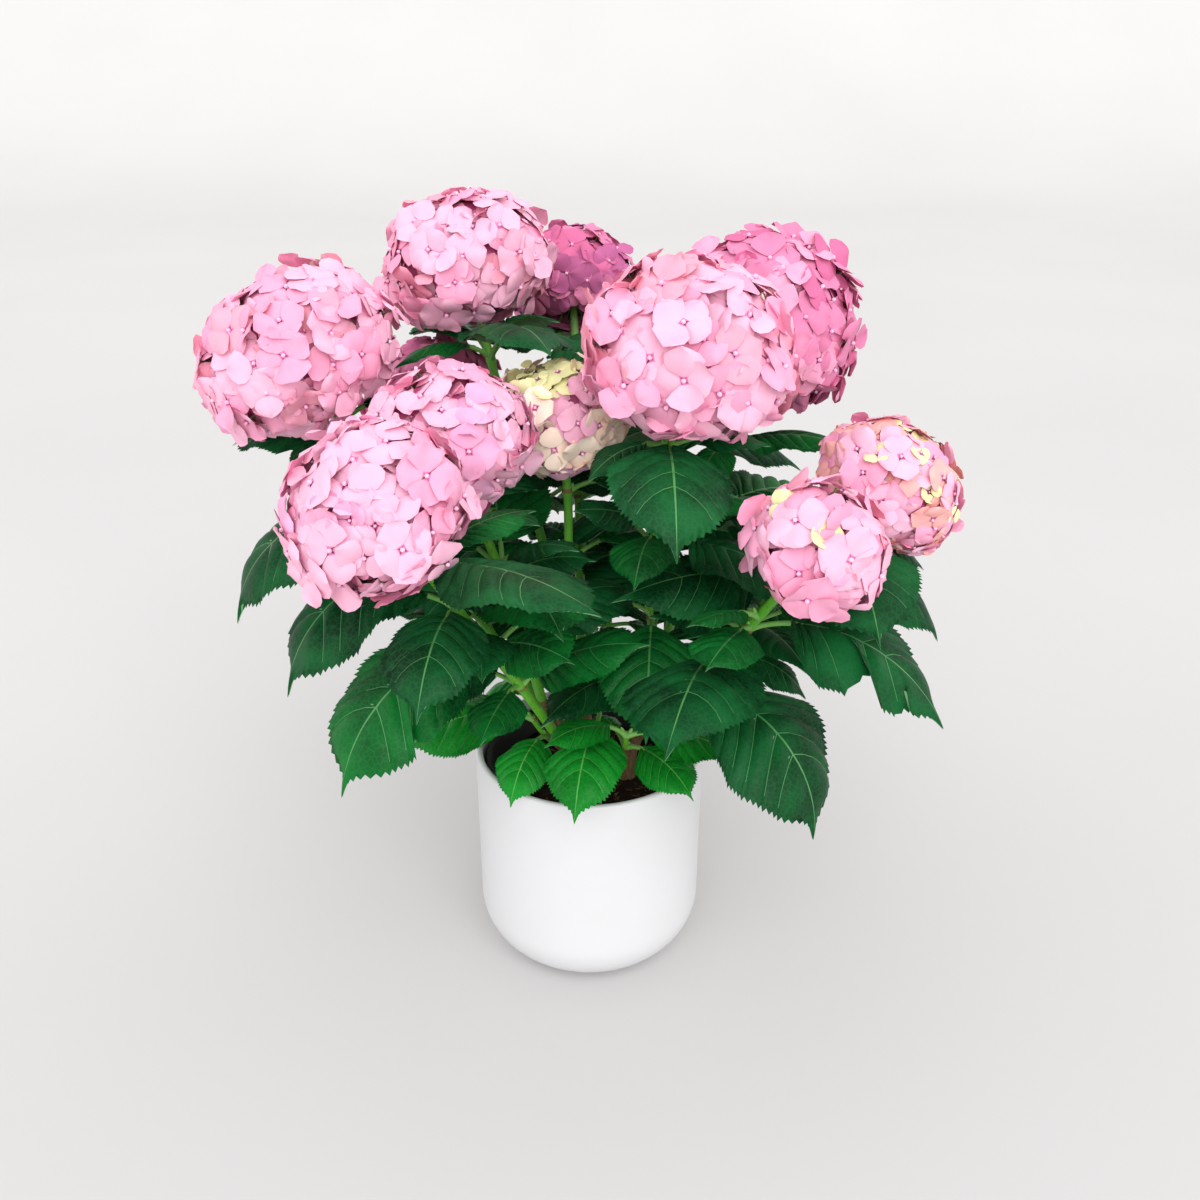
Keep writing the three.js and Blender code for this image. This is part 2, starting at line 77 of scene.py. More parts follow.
def mottled(name, tones, patch, detail, values):
    """A new material with one Principled shader, whose colour drifts between two tones in patches of
    a size in millimetres. Gives the material, its shader, the coordinates, the noise and the tint."""
    material = bpy.data.materials.new(name)
    material.use_nodes = True
    shader = material.node_tree.nodes["Principled BSDF"]
    for socket, value in values.items():
        shader.inputs[socket].default_value = value
    place = add_node(material, "ShaderNodeTexCoord").outputs["Object"]
    noise = add_node(material, "ShaderNodeTexNoise", {}, {"Scale": 1000 / patch, "Detail": detail},
                     {"Vector": place})
    tint = add_node(material, "ShaderNodeMix", {"data_type": "RGBA"},
                    {6: linear(tones[0]), 7: linear(tones[1])}, {0: noise.outputs["Fac"]},
                    {2: shader.inputs["Base Color"]})
    return material, shader, place, noise, tint


def add_object(name, data):
    """Makes an object and puts it in the scene."""
    thing = bpy.data.objects.new(name, data)
    bpy.context.scene.collection.objects.link(thing)
    return thing


def add_piece(name, points, faces, materials, face_slots=None, nodes=(), slot=None, sharp=None):
    """Makes one object from points in millimetres and lists of faces, and lets it ride on root."""
    mesh = bpy.data.meshes.new(name)
    mesh.vertices.add(len(points))
    mesh.vertices.foreach_set("co", (np.asarray(points, float) * 0.001).ravel())
    sizes = np.concatenate([np.full(len(part), part.shape[1]) for part in faces])
    mesh.loops.add(int(sizes.sum()))
    mesh.loops.foreach_set("vertex_index", np.concatenate([part.ravel() for part in faces]))
    mesh.polygons.add(len(sizes))
    mesh.polygons.foreach_set("loop_start", np.concatenate([[0], np.cumsum(sizes)[:-1]]))
    for material in materials:
        mesh.materials.append(material)
    if face_slots is not None:
        mesh.polygons.foreach_set("material_index", np.asarray(face_slots, np.int32))
    mesh.update(calc_edges=True)
    mesh.validate()
    mesh.shade_smooth()
    if sharp:
        mesh.set_sharp_from_angle(angle=math.radians(sharp))
    piece = add_object(name, mesh)
    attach(piece, "root")
    if nodes:
        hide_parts(*nodes)
    return piece


def grid_faces(rows, columns, closed=False):
    """The quads of a grid of points, row by row. A closed grid joins its last column to its first."""
    steps = np.arange(columns if closed else columns - 1)
    row, column = np.meshgrid(np.arange(rows - 1), steps, indexing="ij")
    after = (column + 1) % columns
    quads = [row * columns + column, row * columns + after,
             (row + 1) * columns + after, (row + 1) * columns + column]
    return np.stack(quads, axis=-1).reshape(-1, 4)


def turned(profile, sides):
    """A profile of [radius, height] points turned round the Z axis, as points in rings."""
    angle = np.arange(sides) * (2 * math.pi / sides)
    ring = np.stack([np.cos(angle), np.sin(angle)], axis=-1)
    radius, height = np.asarray(profile, float).T
    points = np.empty((len(profile), sides, 3))
    points[..., :2] = ring[None] * radius[:, None, None]
    points[..., 2] = height[:, None]
    return points.reshape(-1, 3)


def round_corner(radius, height, size, start, end, steps):
    """Points of an arc about (radius, height). Angles are in degrees: 0 outwards, 90 up."""
    angles = np.radians(np.linspace(start, end, steps + 1))
    return [[radius + size * math.cos(a), height + size * math.sin(a)] for a in angles]


pot_centre = POT["radius"] - POT["corner"]
inner_corner = POT["corner"] - POT["wall"]
lip = POT["wall"] / 2
pot_profile = [
    [0.01, FOOT_RING["recess"]],
    [FOOT_RING["inner"] - 1, FOOT_RING["recess"]],
    [FOOT_RING["inner"], 0.2],
    [FOOT_RING["inner"] + 0.6, 0],
    *round_corner(pot_centre, POT["corner"], POT["corner"], -90, 0, 22),
    *[[POT["radius"], z] for z in (70, 100, 130, 158)],
    *round_corner(POT["radius"] - lip, POT["height"] - lip, lip, 0, 180, 10),
    *[[POT["radius"] - POT["wall"], z] for z in (150, 110, 70)],
    *round_corner(pot_centre, POT["corner"], inner_corner, 0, -90, 12),
    [0.01, POT["wall"]],
]

# Satin glaze over white earthenware: even and soft, with a broad highlight and no mirror.
glaze, shader, place, *_ = mottled("satin_white_glaze", GLAZE, 50, 2, {"Roughness": 0.36, "IOR": 1.52})
dimples = add_node(glaze, "ShaderNodeTexNoise", {}, {"Scale": 1000 / 4, "Detail": 1}, {"Vector": place})
add_node(glaze, "ShaderNodeBump", {}, {"Strength": 0.05, "Distance": 0.0002},
         {"Height": dimples.outputs["Fac"]}, {"Normal": shader.inputs["Normal"]})

# The ground foot ring shows the bare fired clay, dry and a little warm.
bisque = mottled("ground_bisque", BISQUE, 1.2, 2, {"Roughness": 0.9})[0]

pot_faces = grid_faces(len(pot_profile), POT_SIDES, closed=True)
ground_ring = slice(2 * POT_SIDES, 5 * POT_SIDES)
pot_slots = np.zeros(len(pot_faces))
pot_slots[ground_ring] = 1
add_piece("cover_pot", turned(pot_profile, POT_SIDES), [pot_faces], [glaze, bisque], pot_slots,
          nodes=["pot"], slot="white_glaze", sharp=50)

# ---------------------------------------------------------------------------------- nursery pot
# The thin black pot that the plant was grown in, injection moulded in polypropylene, with a rolled
# rim. It sits inside the cover pot, and its rim shows in the shade just below the white one.

NURSERY = {"top": 74.5, "foot": 55, "foot_height": 8.15, "drop": 8, "wall": 1.6, "lip": 3, "roll": 1.5}
NURSERY_SIDES = 120
rim_height = POT["height"] - NURSERY["drop"]
inner_floor = NURSERY["foot_height"] + NURSERY["wall"]
nursery_profile = [
    [0.01, NURSERY["foot_height"]],
    [NURSERY["foot"] - 2, NURSERY["foot_height"]],
    [NURSERY["foot"], NURSERY["foot_height"] + 2],
    [NURSERY["top"], rim_height - NURSERY["lip"]],
    *round_corner(NURSERY["top"] + NURSERY["wall"], rim_height - NURSERY["roll"], NURSERY["roll"],
                  -80, 160, 8),
    [NURSERY["top"] - NURSERY["wall"], rim_height - NURSERY["lip"]],
    [NURSERY["foot"] - NURSERY["wall"], inner_floor],
    [0.01, inner_floor],
]

# Black polypropylene, lightly textured in its mould, with a dusting of dry compost that dulls it.
black_plastic, shader, place, *_ = mottled("moulded_black_polypropylene", (0x0B0B0B, 0x1D1917), 12, 5,
                                           {"Roughness": 0.55, "IOR": 1.49})
spark = add_node(black_plastic, "ShaderNodeTexNoise", {}, {"Scale": 1000 / 0.9}, {"Vector": place})
add_node(black_plastic, "ShaderNodeBump", {}, {"Strength": 0.15, "Distance": 0.0001},
         {"Height": spark.outputs["Fac"]}, {"Normal": shader.inputs["Normal"]})

add_piece("nursery_pot_shell", turned(nursery_profile, NURSERY_SIDES),
          [grid_faces(len(nursery_profile), NURSERY_SIDES, closed=True)], [black_plastic],
          nodes=["nursery_pot"], slot="black_plastic", sharp=50)

# -------------------------------------------------------------------------------------- compost
# Moist dark peat compost, crumbly and a little heaped in the middle, strewn with bits of reddish
# bark and pale fibre that rose to the top when it was watered.

COMPOST = {"level": 150, "edge_drop": 5, "flat_radius": 48, "lumps": 0.15714, "grain": 0.35}
LUMP_SIZES = (9, 4.1, 2.3, 1.3)
RINGS = 40
COMPOST_SIDES = 130
CHIPS = 330
rng = np.random.default_rng(41)
compost_edge = COMPOST["level"] - COMPOST["edge_drop"]
edge_share = (compost_edge - NURSERY["foot_height"]) / (rim_height - NURSERY["foot_height"])
edge_radius = NURSERY["foot"] + (NURSERY["top"] - NURSERY["foot"]) * edge_share - NURSERY["wall"] - 0.3


def compost_height(x, y):
    """The crumbled surface: a flat middle, edges that drop, and lumps of several sizes."""
    share = (np.hypot(x, y) - COMPOST["flat_radius"]) / (edge_radius - COMPOST["flat_radius"])
    lumps = sum(np.sin(x / s + 1.7 * s + 1.3 * np.sin(y / s)) * np.sin(y / s + 0.6 * s) * s
                for s in LUMP_SIZES)
    return COMPOST["level"] - COMPOST["edge_drop"] * np.clip(share, 0, 1) + lumps * COMPOST["lumps"]


class Joined:
    """Collects the points, faces and material slots of many like things for one piece."""

    def __init__(self):
        self.points, self.faces, self.slots, self.count = [], [], [], 0

    def add(self, points, faces, slot):
        self.faces.append(faces + self.count)
        self.points.append(points)
        self.slots.append(np.broadcast_to(slot, len(faces)))
        self.count += len(points)

    def piece(self, name, materials, **about):
        return add_piece(name, np.concatenate(self.points), [np.concatenate(self.faces)], materials,
                         np.concatenate(self.slots), **about)


ring_radius = np.linspace(0.02, edge_radius, RINGS)[:, None]
spin = np.arange(COMPOST_SIDES) * (2 * math.pi / COMPOST_SIDES)
cx = ring_radius * np.cos(spin)
cy = ring_radius * np.sin(spin)
top = np.stack([cx, cy, compost_height(cx, cy)], axis=-1)
top[..., 2] += rng.normal(0, COMPOST["grain"], top.shape[:2]) * (ring_radius > 2)
foot_radius = NURSERY["foot"] - NURSERY["wall"] - 0.6
compost_floor = inner_floor + 0.3
side_profile = [(edge_radius - 0.4, compost_edge - 4), (foot_radius, compost_floor), (0.02, compost_floor)]
compost_points = np.concatenate([top.reshape(-1, 3), turned(side_profile, COMPOST_SIDES)])

# Moist peat: nearly black where it is wet, brown on the crumbs that have dried, and quite rough.
peat, shader, _, crumbs, _ = mottled("moist_peat_compost", (0x080605, 0x3B2417), 4, 6,
                                     {"Roughness": 0.93, "Specular IOR Level": 0.25})
crumbs.inputs["Roughness"].default_value = 0.7
add_node(peat, "ShaderNodeBump", {}, {"Strength": 0.8, "Distance": 0.0012},
         {"Height": crumbs.outputs["Fac"]}, {"Normal": shader.inputs["Normal"]})

add_piece("compost_surface", compost_points,
          [grid_faces(RINGS + len(side_profile), COMPOST_SIDES, closed=True)[:, ::-1]], [peat],
          nodes=["compost"], slot="compost")

# Bits of composted bark: flat splinters, some red-brown and some paler, with torn ends. Each kind
# has its share of the bits, its length, breadth and depth, and its two tones.
CHIP_KINDS = {
    "red_bark_chip": (0.45, (9, 2.6, 1.1), (0x3A1B12, 0x7C4029)),
    "brown_bark_chip": (0.35, (8, 3.4, 1.3), (0x24160F, 0x553423)),
    "pale_wood_fibre": (0.2, (11, 0.7, 0.6), (0x6E5138, 0xA98A63)),
}
chip_shares, chip_sizes, chip_tones = zip(*CHIP_KINDS.values())
bark_tones = [mottled(name, tones, 2, 3, {"Roughness": 0.85})[0]
              for name, tones in zip(CHIP_KINDS, chip_tones)]

box_faces = np.array([[0, 3, 2, 1], [4, 5, 6, 7], [0, 1, 5, 4], [1, 2, 6, 5], [2, 3, 7, 6], [3, 0, 4, 7]])
box_corners = np.array([[-1, -1, -1], [1, -1, -1], [1, 1, -1], [-1, 1, -1],
                        [-1, -1, 1], [1, -1, 1], [1, 1, 1], [-1, 1, 1]])
chips = Joined()
for _ in range(CHIPS):
    r = (edge_radius - 5) * math.sqrt(rng.random())
    a = rng.random() * 2 * math.pi
    kind = int(rng.choice(3, p=chip_shares))
    size = np.array(chip_sizes[kind]) * rng.uniform(0.35, 0.85) / 2
    corners = box_corners * size * rng.uniform(0.55, 1.15, (8, 1))
    yaw, pitch = rng.random() * 2 * math.pi, rng.normal(0, 0.28)
    along = np.array([math.cos(yaw) * math.cos(pitch), math.sin(yaw) * math.cos(pitch), math.sin(pitch)])
    across = np.array([-math.sin(yaw), math.cos(yaw), 0])
    x, y = r * math.cos(a), r * math.sin(a)
    centre = np.array([x, y, compost_height(x, y) + 0.4 + size[2] / 2])
    chips.add(corners @ np.stack([along, across, np.cross(along, across)]) + centre, box_faces, kind)
chips.piece("bark_chips", bark_tones, slot="compost", sharp=30)

# ---------------------------------------------------------------------------------------- canes
# Three short woody stems of older growth stand in the compost. Their thin bark is grey-brown, split
# lengthways and peeling, and swollen at the foot and where the young stems break from the tip.

CANE = {"foot_radius": 7, "neck_radius": 5.2, "flare": 1.45, "flare_height": 14,
        "swell": 1.5, "swell_height": 6}
CANES = {
    "left": {"foot": (-11, -19), "length": 62, "lean": 17, "turn": -150},
    "right": {"foot": (28, -8), "length": 54, "lean": 18, "turn": -15},
    "back": {"foot": (-4, 27), "length": 58, "lean": 14, "turn": 100},
}
# How far the rings of a cane's domed top lie beyond its tip.
DOME = np.array([3, 5.4, 6.6, 6.8])
FORK_STEP = 0.17
SEAT = 0.3
CANE_SIDES = 40
CANE_STEPS = 56
UP = np.array([0.0, 0.0, 1.0])


def heading(turn, rise):
    """A direction from its turn and its rise above level, in degrees."""
    level = math.cos(math.radians(rise))
    return np.array([level * math.cos(math.radians(turn)), level * math.sin(math.radians(turn)),
                     math.sin(math.radians(rise))])


class Bend:
    """A Bezier curve of 3 or 4 control points that is walked by shares of its length."""

    def __init__(self, *controls):
        self.controls = [np.asarray(point, float) for point in controls]
        points = self.at(np.linspace(0, 1, 201))
        self.walked = np.concatenate([[0], np.cumsum(np.linalg.norm(np.diff(points, axis=0), axis=1))])
        self.length = self.walked[-1]

    def at(self, t):
        t = np.asarray(t, float)[..., None]
        n = len(self.controls) - 1
        return sum(math.comb(n, i) * (1 - t) ** (n - i) * t ** i * point
                   for i, point in enumerate(self.controls))

    def share_to_t(self, share):
        return np.interp(np.asarray(share, float) * self.length, self.walked, np.linspace(0, 1, 201))

    def point(self, share):
        return self.at(self.share_to_t(share))

    def tangent(self, share):
        t = self.share_to_t(share)
        way = self.at(np.minimum(t + 1e-3, 1)) - self.at(np.maximum(t - 1e-3, 0))
        return way / np.linalg.norm(way, axis=-1, keepdims=True)


def tube(centres, tangents, radii, sides):
    """Rings of points about a line of centres. radii has one value or one row of values for each."""
    reference = np.array([0.0, 1.0, 0.0]) if abs(tangents[0][1]) < 0.9 else np.array([1.0, 0.0, 0.0])
    across = np.cross(tangents, reference)
    across /= np.linalg.norm(across, axis=-1, keepdims=True)
    forward = np.cross(across, tangents)
    angle = np.arange(sides) * (2 * math.pi / sides)
    radii = np.broadcast_to(np.asarray(radii, float).reshape(len(centres), -1), (len(centres), sides))
    ring = (np.cos(angle)[None, :, None] * across[:, None] + np.sin(angle)[None, :, None] * forward[:, None])
    return (centres[:, None] + ring * radii[..., None]).reshape(-1, 3)


def add_tube(joined, centres, tangents, radii, sides, slot):
    """Adds a tube to what makes one piece."""
    joined.add(tube(centres, tangents, radii, sides), grid_faces(len(centres), sides, closed=True), slot)

def cane_bend(cane):
    base = np.array([*cane["foot"], COMPOST["level"] + SEAT], float)
    tip = base + heading(cane["turn"], 90 - cane["lean"]) * cane["length"]
    return Bend(base, base + UP * cane["length"] * 0.5, tip)


# Old hydrangea bark: papery and dull, in long strips of grey and brown about 2 mm wide.
cane_bark, shader, place, strips, _ = mottled("peeling_grey_brown_bark", (0x4A3224, 0xA07C5A), 2.2, 4,
                                              {"Roughness": 0.88, "Specular IOR Level": 0.3})
add_node(cane_bark, "ShaderNodeMapping", {}, {"Scale": (1, 1, 0.16)}, {"Vector": place},
         {"Vector": strips.inputs["Vector"]})
add_node(cane_bark, "ShaderNodeBump", {}, {"Strength": 0.6, "Distance": 0.0005},
         {"Height": strips.outputs["Fac"]}, {"Normal": shader.inputs["Normal"]})

for cane_index, (name, cane) in enumerate(CANES.items()):
    rng = np.random.default_rng(60 + cane_index)
    bend = cane_bend(cane)
    share = np.concatenate([np.linspace(-0.05, 1, CANE_STEPS), 1 + DOME / bend.length])
    inside = np.clip(share, 0, 1)
    centres = bend.point(inside) + bend.tangent(inside) * ((share - inside) * bend.length)[:, None]
    flare = np.clip(1 - share * bend.length / CANE["flare_height"], 0, 1)
    radius = CANE["foot_radius"] + (CANE["neck_radius"] - CANE["foot_radius"]) * inside
    radius = radius * (1 + (CANE["flare"] - 1) * flare ** 2)
    radius += CANE["swell"] * np.exp(-((1 - share) * bend.length / CANE["swell_height"]) ** 2)
    beyond = np.clip((share - 1) * bend.length / DOME[-1], 0, 1)
    radius *= np.sqrt(np.clip(1 - beyond ** 2, 0.0005, 1))
    # Strips of bark that wander round the cane, and the raised edges where some have peeled.
    angle = np.arange(CANE_SIDES) * (2 * math.pi / CANE_SIDES)
    z = (share * bend.length)[:, None]
    relief = np.zeros((len(share), CANE_SIDES))
    for strip in range(5):
        phase = rng.random(3) * 6.3
        wander = phase[0] + 0.9 * np.sin(z / 9 + phase[1])
        relief += np.sin((5 + 3 * strip) * angle + wander) * np.sin(z / 14 + phase[2])
    peeled = np.clip(np.sin(z / 6.5 + 2 * np.sin(angle + phase[0])) - 0.75, 0, 1)
    relief = 1 + 0.13 * (0.16 * relief + 0.35 * peeled)
    points = tube(centres, bend.tangent(inside), radius[:, None] * relief, CANE_SIDES)
    add_piece("cane_bark_" + name, points, [grid_faces(len(share), CANE_SIDES, closed=True)], [cane_bark],
              nodes=["cane_" + name], slot="bark")

# ---------------------------------------------------------------------------------- green stems
# This year's stems grow from the canes, each with opposite pairs of leaves and a flower head at its
# tip. They are smooth, pale green and round, a little swollen where each pair of petioles clasps them.

STEM = {"base": 3.7, "neck": 2.9, "start_lift": 4, "handle": 0.36, "inset": 0.7}
BLOOM = {"crown": 0.84, "skirt": 0.64, "neck_below": 8}
LEAF = {"petiole": 30, "petiole_radius": 1.7, "rise": 28, "width": 0.36, "camber": 0.1}
STEM_SIDES = 12
SPROUT_FORK = 3.4
SPROUT_LEAN = 20

# The shoots of each cane, highest fork first. turn, reach and height place the middle of the flower
# head, or a sprout's tip; bloom is the head's radius, lean the tilt of its axis and tall its height
# against the others'. Each pair of leaves is (distance below the head or tip, turn, blade length,
# droop, droop of the opposite leaf).
SPROUT_FIELDS = ("name", "cane", "turn", "reach", "height", "pairs")
FLOWERING_FIELDS = (*SPROUT_FIELDS[:-1], "bloom", "lean", "tall", "pairs")
FLOWERING = [
    ("front_right", "right", -43, 85, 483, 65, 14, 1,
     [(18, -88, 102, 62, 35), (90, -20, 96, 45, 50), (148, -92, 92, 60, 30), (198, 20, 84, 40, 40)]),
    ("front_left_high", "left", -136, 117, 434, 50, 22, 1,
     [(16, 66, 88, 30, 30), (74, 96, 100, 30, 40), (128, 60, 96, 40, 60)]),
    ("middle", "left", -133, 25, 429, 41, 6, 1.1,
     [(14, 8, 84, 56, 30), (66, 14, 92, 50, 40), (108, 0, 80, 40, 40), (148, -36, 72, 30, 30)]),
    ("left", "left", -177, 185, 468, 63, 28, 1,
     [(16, 160, 88, 40, 35), (76, -155, 126, 84, 20), (124, -144, 130, 82, 30), (174, 130, 92, 50, 20)]),
    ("front_left_low", "left", -121, 213, 431, 50, 36, 1,
     [(20, -42, 106, 12, 70), (66, -96, 80, 60, 50), (120, -134, 120, 84, 40), (172, 160, 84, 60, 30)]),
    ("far_right", "right", -19, 201, 400, 47, 38, 1,
     [(16, -100, 90, 50, 60), (56, 6, 100, 80, 20), (108, -174, 90, 20, 30), (154, 40, 84, 30, 30)]),
    ("low_right", "right", -48, 197, 392, 41, 34, 1.1,
     [(48, -14, 120, 66, 30), (94, -104, 110, 24, 30), (144, -40, 126, 96, 20)]),
    ("back_right", "right", 31, 141, 466, 68, 16, 1.2,
     [(24, -30, 74, 14, 30), (78, 35, 110, 50, 30), (134, -50, 104, 45, 30), (188, 50, 96, 50, 30)]),
    ("high_left", "back", 138, 112, 509, 60, 18, 1,
     [(18, -70, 100, 50, 30), (76, 80, 112, 30, 35), (130, 165, 112, 50, 30), (184, 80, 96, 40, 30)]),
    ("back", "back", 94, 182, 478, 48, 30, 1,
     [(14, -80, 100, 52, 30), (72, 100, 112, 50, 30), (130, 10, 110, 40, 40), (186, 95, 96, 60, 30)]),
    ("rear_left", "back", 133, 177, 400, 52, 38, 1,
     [(14, 170, 108, 50, 40), (64, 100, 110, 60, 30), (114, 175, 105, 45, 30), (160, 120, 92, 60, 30)]),
    ("rear_right", "back", 71, 180, 400, 52, 38, 1,
     [(14, 40, 108, 50, 40), (64, 120, 110, 60, 30), (114, 25, 105, 45, 30), (162, 80, 92, 60, 30)]),
]

# Leafy sprouts with no flower, low on the canes.
SPROUTS = [
    ("front_left", "left", -140, 52, 214, [(2, -168, 80, 50, 25), (22, -112, 60, 70, 30)]),
    ("front", "left", -82, 40, 206, [(2, -98, 80, 82, 20), (22, -8, 60, 20, 20)]),
    ("right", "right", -64, 62, 214, [(2, -150, 66, 60, 20), (26, -50, 60, 50, 20)]),
    ("back", "back", 110, 62, 214, [(2, 95, 80, 70, 20), (26, 175, 72, 60, 40)]),
]


def plan_shoot(spec, index, fork):
    """A shoot with its curve added to its row, and the frame of its flower head if it has one."""
    centre = heading(spec["turn"], 0) * spec["reach"] + UP * spec["height"]
    axis = heading(spec["turn"], 90 - spec.get("lean", SPROUT_LEAN))
    neck = centre.copy()
    if "bloom" in spec:
        neck -= axis * (spec["bloom"] * spec["tall"] * BLOOM["skirt"] + BLOOM["neck_below"])
    start = cane_bend(CANES[spec["cane"]]).point(1 - fork * FORK_STEP)
    way = neck - start
    handle = np.linalg.norm(way) * STEM["handle"]
    turn = math.degrees(math.atan2(way[1], way[0]))
    rise = math.degrees(math.asin(way[2] / np.linalg.norm(way)))
    start = start + heading(turn, 0) * CANE["neck_radius"] * STEM["inset"]
    bend = Bend(start, start + heading(turn, rise + STEM["start_lift"]) * handle, neck - axis * handle, neck)
    return {**spec, "index": index, "bend": bend, "length": bend.length,
            "centre": centre, "axis": axis, "neck": neck, "leaves": []}


forks = {"left": 0, "right": 0, "back": 0}
shoots = []
for row in FLOWERING:
    spec = dict(zip(FLOWERING_FIELDS, row))
    shoots.append(plan_shoot(spec, len(shoots), forks[spec["cane"]]))
    forks[spec["cane"]] += 1
flowering = list(shoots)
for row in SPROUTS:
    shoots.append(plan_shoot(dict(zip(SPROUT_FIELDS, row)), len(shoots), SPROUT_FORK))

# Young stem: waxy, pale green, flecked with small reddish pores about 1 mm long.
green_stem, shader, place, _, green = mottled(
    "smooth_green_stem", (0x3F9A22, 0x78C33C), 30, 2,
    {"Roughness": 0.42, "Subsurface Weight": 0.1, "Subsurface Radius": (0.002, 0.003, 0.001)})
drawn_out = add_node(green_stem, "ShaderNodeMapping", {}, {"Scale": (1, 1, 0.35)}, {"Vector": place})
pores = add_node(green_stem, "ShaderNodeTexNoise", {}, {"Scale": 1000 / 1.2, "Detail": 1},
                 {"Vector": drawn_out.outputs["Vector"]})
flecks = add_node(green_stem, "ShaderNodeMapRange", {}, {1: 0.66, 2: 0.74}, {0: pores.outputs["Fac"]})
add_node(green_stem, "ShaderNodeMix", {"data_type": "RGBA"}, {7: linear(0x6A3A20)},
         {0: flecks.outputs[0], 6: green.outputs[2]}, {2: shader.inputs["Base Color"]})
add_node(green_stem, "ShaderNodeBump", {}, {"Strength": 0.25, "Distance": 0.0003},
         {"Height": pores.outputs["Fac"]}, {"Normal": shader.inputs["Normal"]})

# Where a stem begins it has turned brown and corky, as the cane that it came from.
corky_stem = mottled("corky_brown_stem", (0x5D4027, 0x8F7A4A), 3, 4, {"Roughness": 0.8})[0]

# --------------------------------------------------------------------------------------- leaves
# The leaves stand in opposite pairs on short thick petioles: broad ovals with a drawn-out tip,
# saw-toothed edges and side veins that sweep forward, the blade puckered up between them.

TEST = {"along": 14, "across": 5, "gap": 7.4, "stem_gap": 8, "bloom_gap": 4, "pot_gap": 6, "petiole_gap": 5}
# What is tried when a leaf doesn't fit: turned aside and drooped more, by degrees, and then smaller.
TRIES = [(0, 0), (0, 14), (0, -14), (14, 0), (-14, 0), (14, 16), (-14, 16), (14, -16), (-14, -16), (26, 0),
         (-26, 0), (26, 18), (-26, 18), (0, 30), (0, -30), (26, -24), (-26, -24), (38, 10), (-38, 10)]
SMALLER = (1, 0.8, 0.62, 0.5)
CANE_OWNER, LEAF_OWNER = -2, -1
SEED = 7919


def numbers_from(seed):
    """Numbers from 0 to 1 that come out the same on every run for the same seed."""
    state = seed & 0xFFFFFFFF
    while True:
        state = (state * 1664525 + 1013904223) & 0xFFFFFFFF
        yield state / 4294967296


def outline(share):
    """Half the blade's width at a share of the blade, as a share of its widest."""
    body = np.maximum(np.sin(np.pi * np.power(share, 0.72)), 0)
    x = np.clip((np.asarray(share, float) - 0.72) / 0.28, 0, 1)
    return body ** 0.8 * (1 - 0.55 * x * x * (3 - 2 * x))


def midrib(leaf, share):
    """Places and frames on a leaf's midrib at shares of its whole length: an arc in an upright plane."""
    reach = LEAF["petiole"] * leaf["petiole_share"] + leaf["length"]
    bend = math.radians(-leaf["droop"] - leaf["rise"])
    start = math.radians(leaf["rise"])
    now = (start + bend * np.asarray(share, float))[..., None]
    out = reach * (np.sin(now) - math.sin(start)) / bend
    climb = -reach * (np.cos(now) - math.cos(start)) / bend
    level = heading(leaf["turn"], 0)
    tangent = level * np.cos(now) + UP * np.sin(now)
    upright = -level * np.sin(now) + UP * np.cos(now)
    roll = math.radians(leaf["roll"])
    normal = upright * math.cos(roll) + np.cross(tangent, upright) * math.sin(roll)
    return leaf["root"] + level * out + UP * climb, tangent, normal, np.cross(tangent, normal)


def petiole_part(leaf):
    petiole = LEAF["petiole"] * leaf["petiole_share"]
    return petiole / (petiole + leaf["length"])


# Where a blade is tested: shares of its length, and of its half width there.
test_shares = np.arange(TEST["along"] + 1) / TEST["along"]
test_across = [TEST["across"] if outline(share) > 0.35 else 1 for share in test_shares]
test_shares, test_across = np.array([(share, j / half) for share, half in zip(test_shares, test_across)
                                     for j in range(-half, half + 1)]).T


def leaf_points(leaf):
    """Points all over a blade, and two on its petiole."""
    part = petiole_part(leaf)
    point, _, normal, side = midrib(leaf, part + (1 - part) * test_shares)
    width = outline(test_shares)[:, None]
    across = test_across[:, None]
    blade = point + side * (LEAF["width"] * leaf["length"] * width * across)
    blade = blade - normal * (LEAF["camber"] * leaf["length"] * width * across * across)
    return blade, midrib(leaf, part * np.array([0.45, 0.75]))[0]


class Taken:
    """The room that is taken: points with a radius, and the owner of each."""

    def __init__(self):
        self.points, self.radii, self.owners = np.empty((0, 3)), np.empty(0), np.empty(0, int)

    def take(self, points, radius, owner):
        self.points = np.concatenate([self.points, points])
        self.radii = np.concatenate([self.radii, np.full(len(points), float(radius))])
        self.owners = np.concatenate([self.owners, np.full(len(points), owner)])

    def hits(self, points, gap, skip=None):
        reach = gap + 8
        near = np.all((self.points > points.min(axis=0) - reach) &
                      (self.points < points.max(axis=0) + reach), axis=1)
        if skip is not None:
            near &= self.owners != skip
        if not near.any():
            return False
        apart = ((self.points[near][None] - points[:, None]) ** 2).sum(axis=-1)
        return bool((apart < (self.radii[near][None] + gap) ** 2).any())


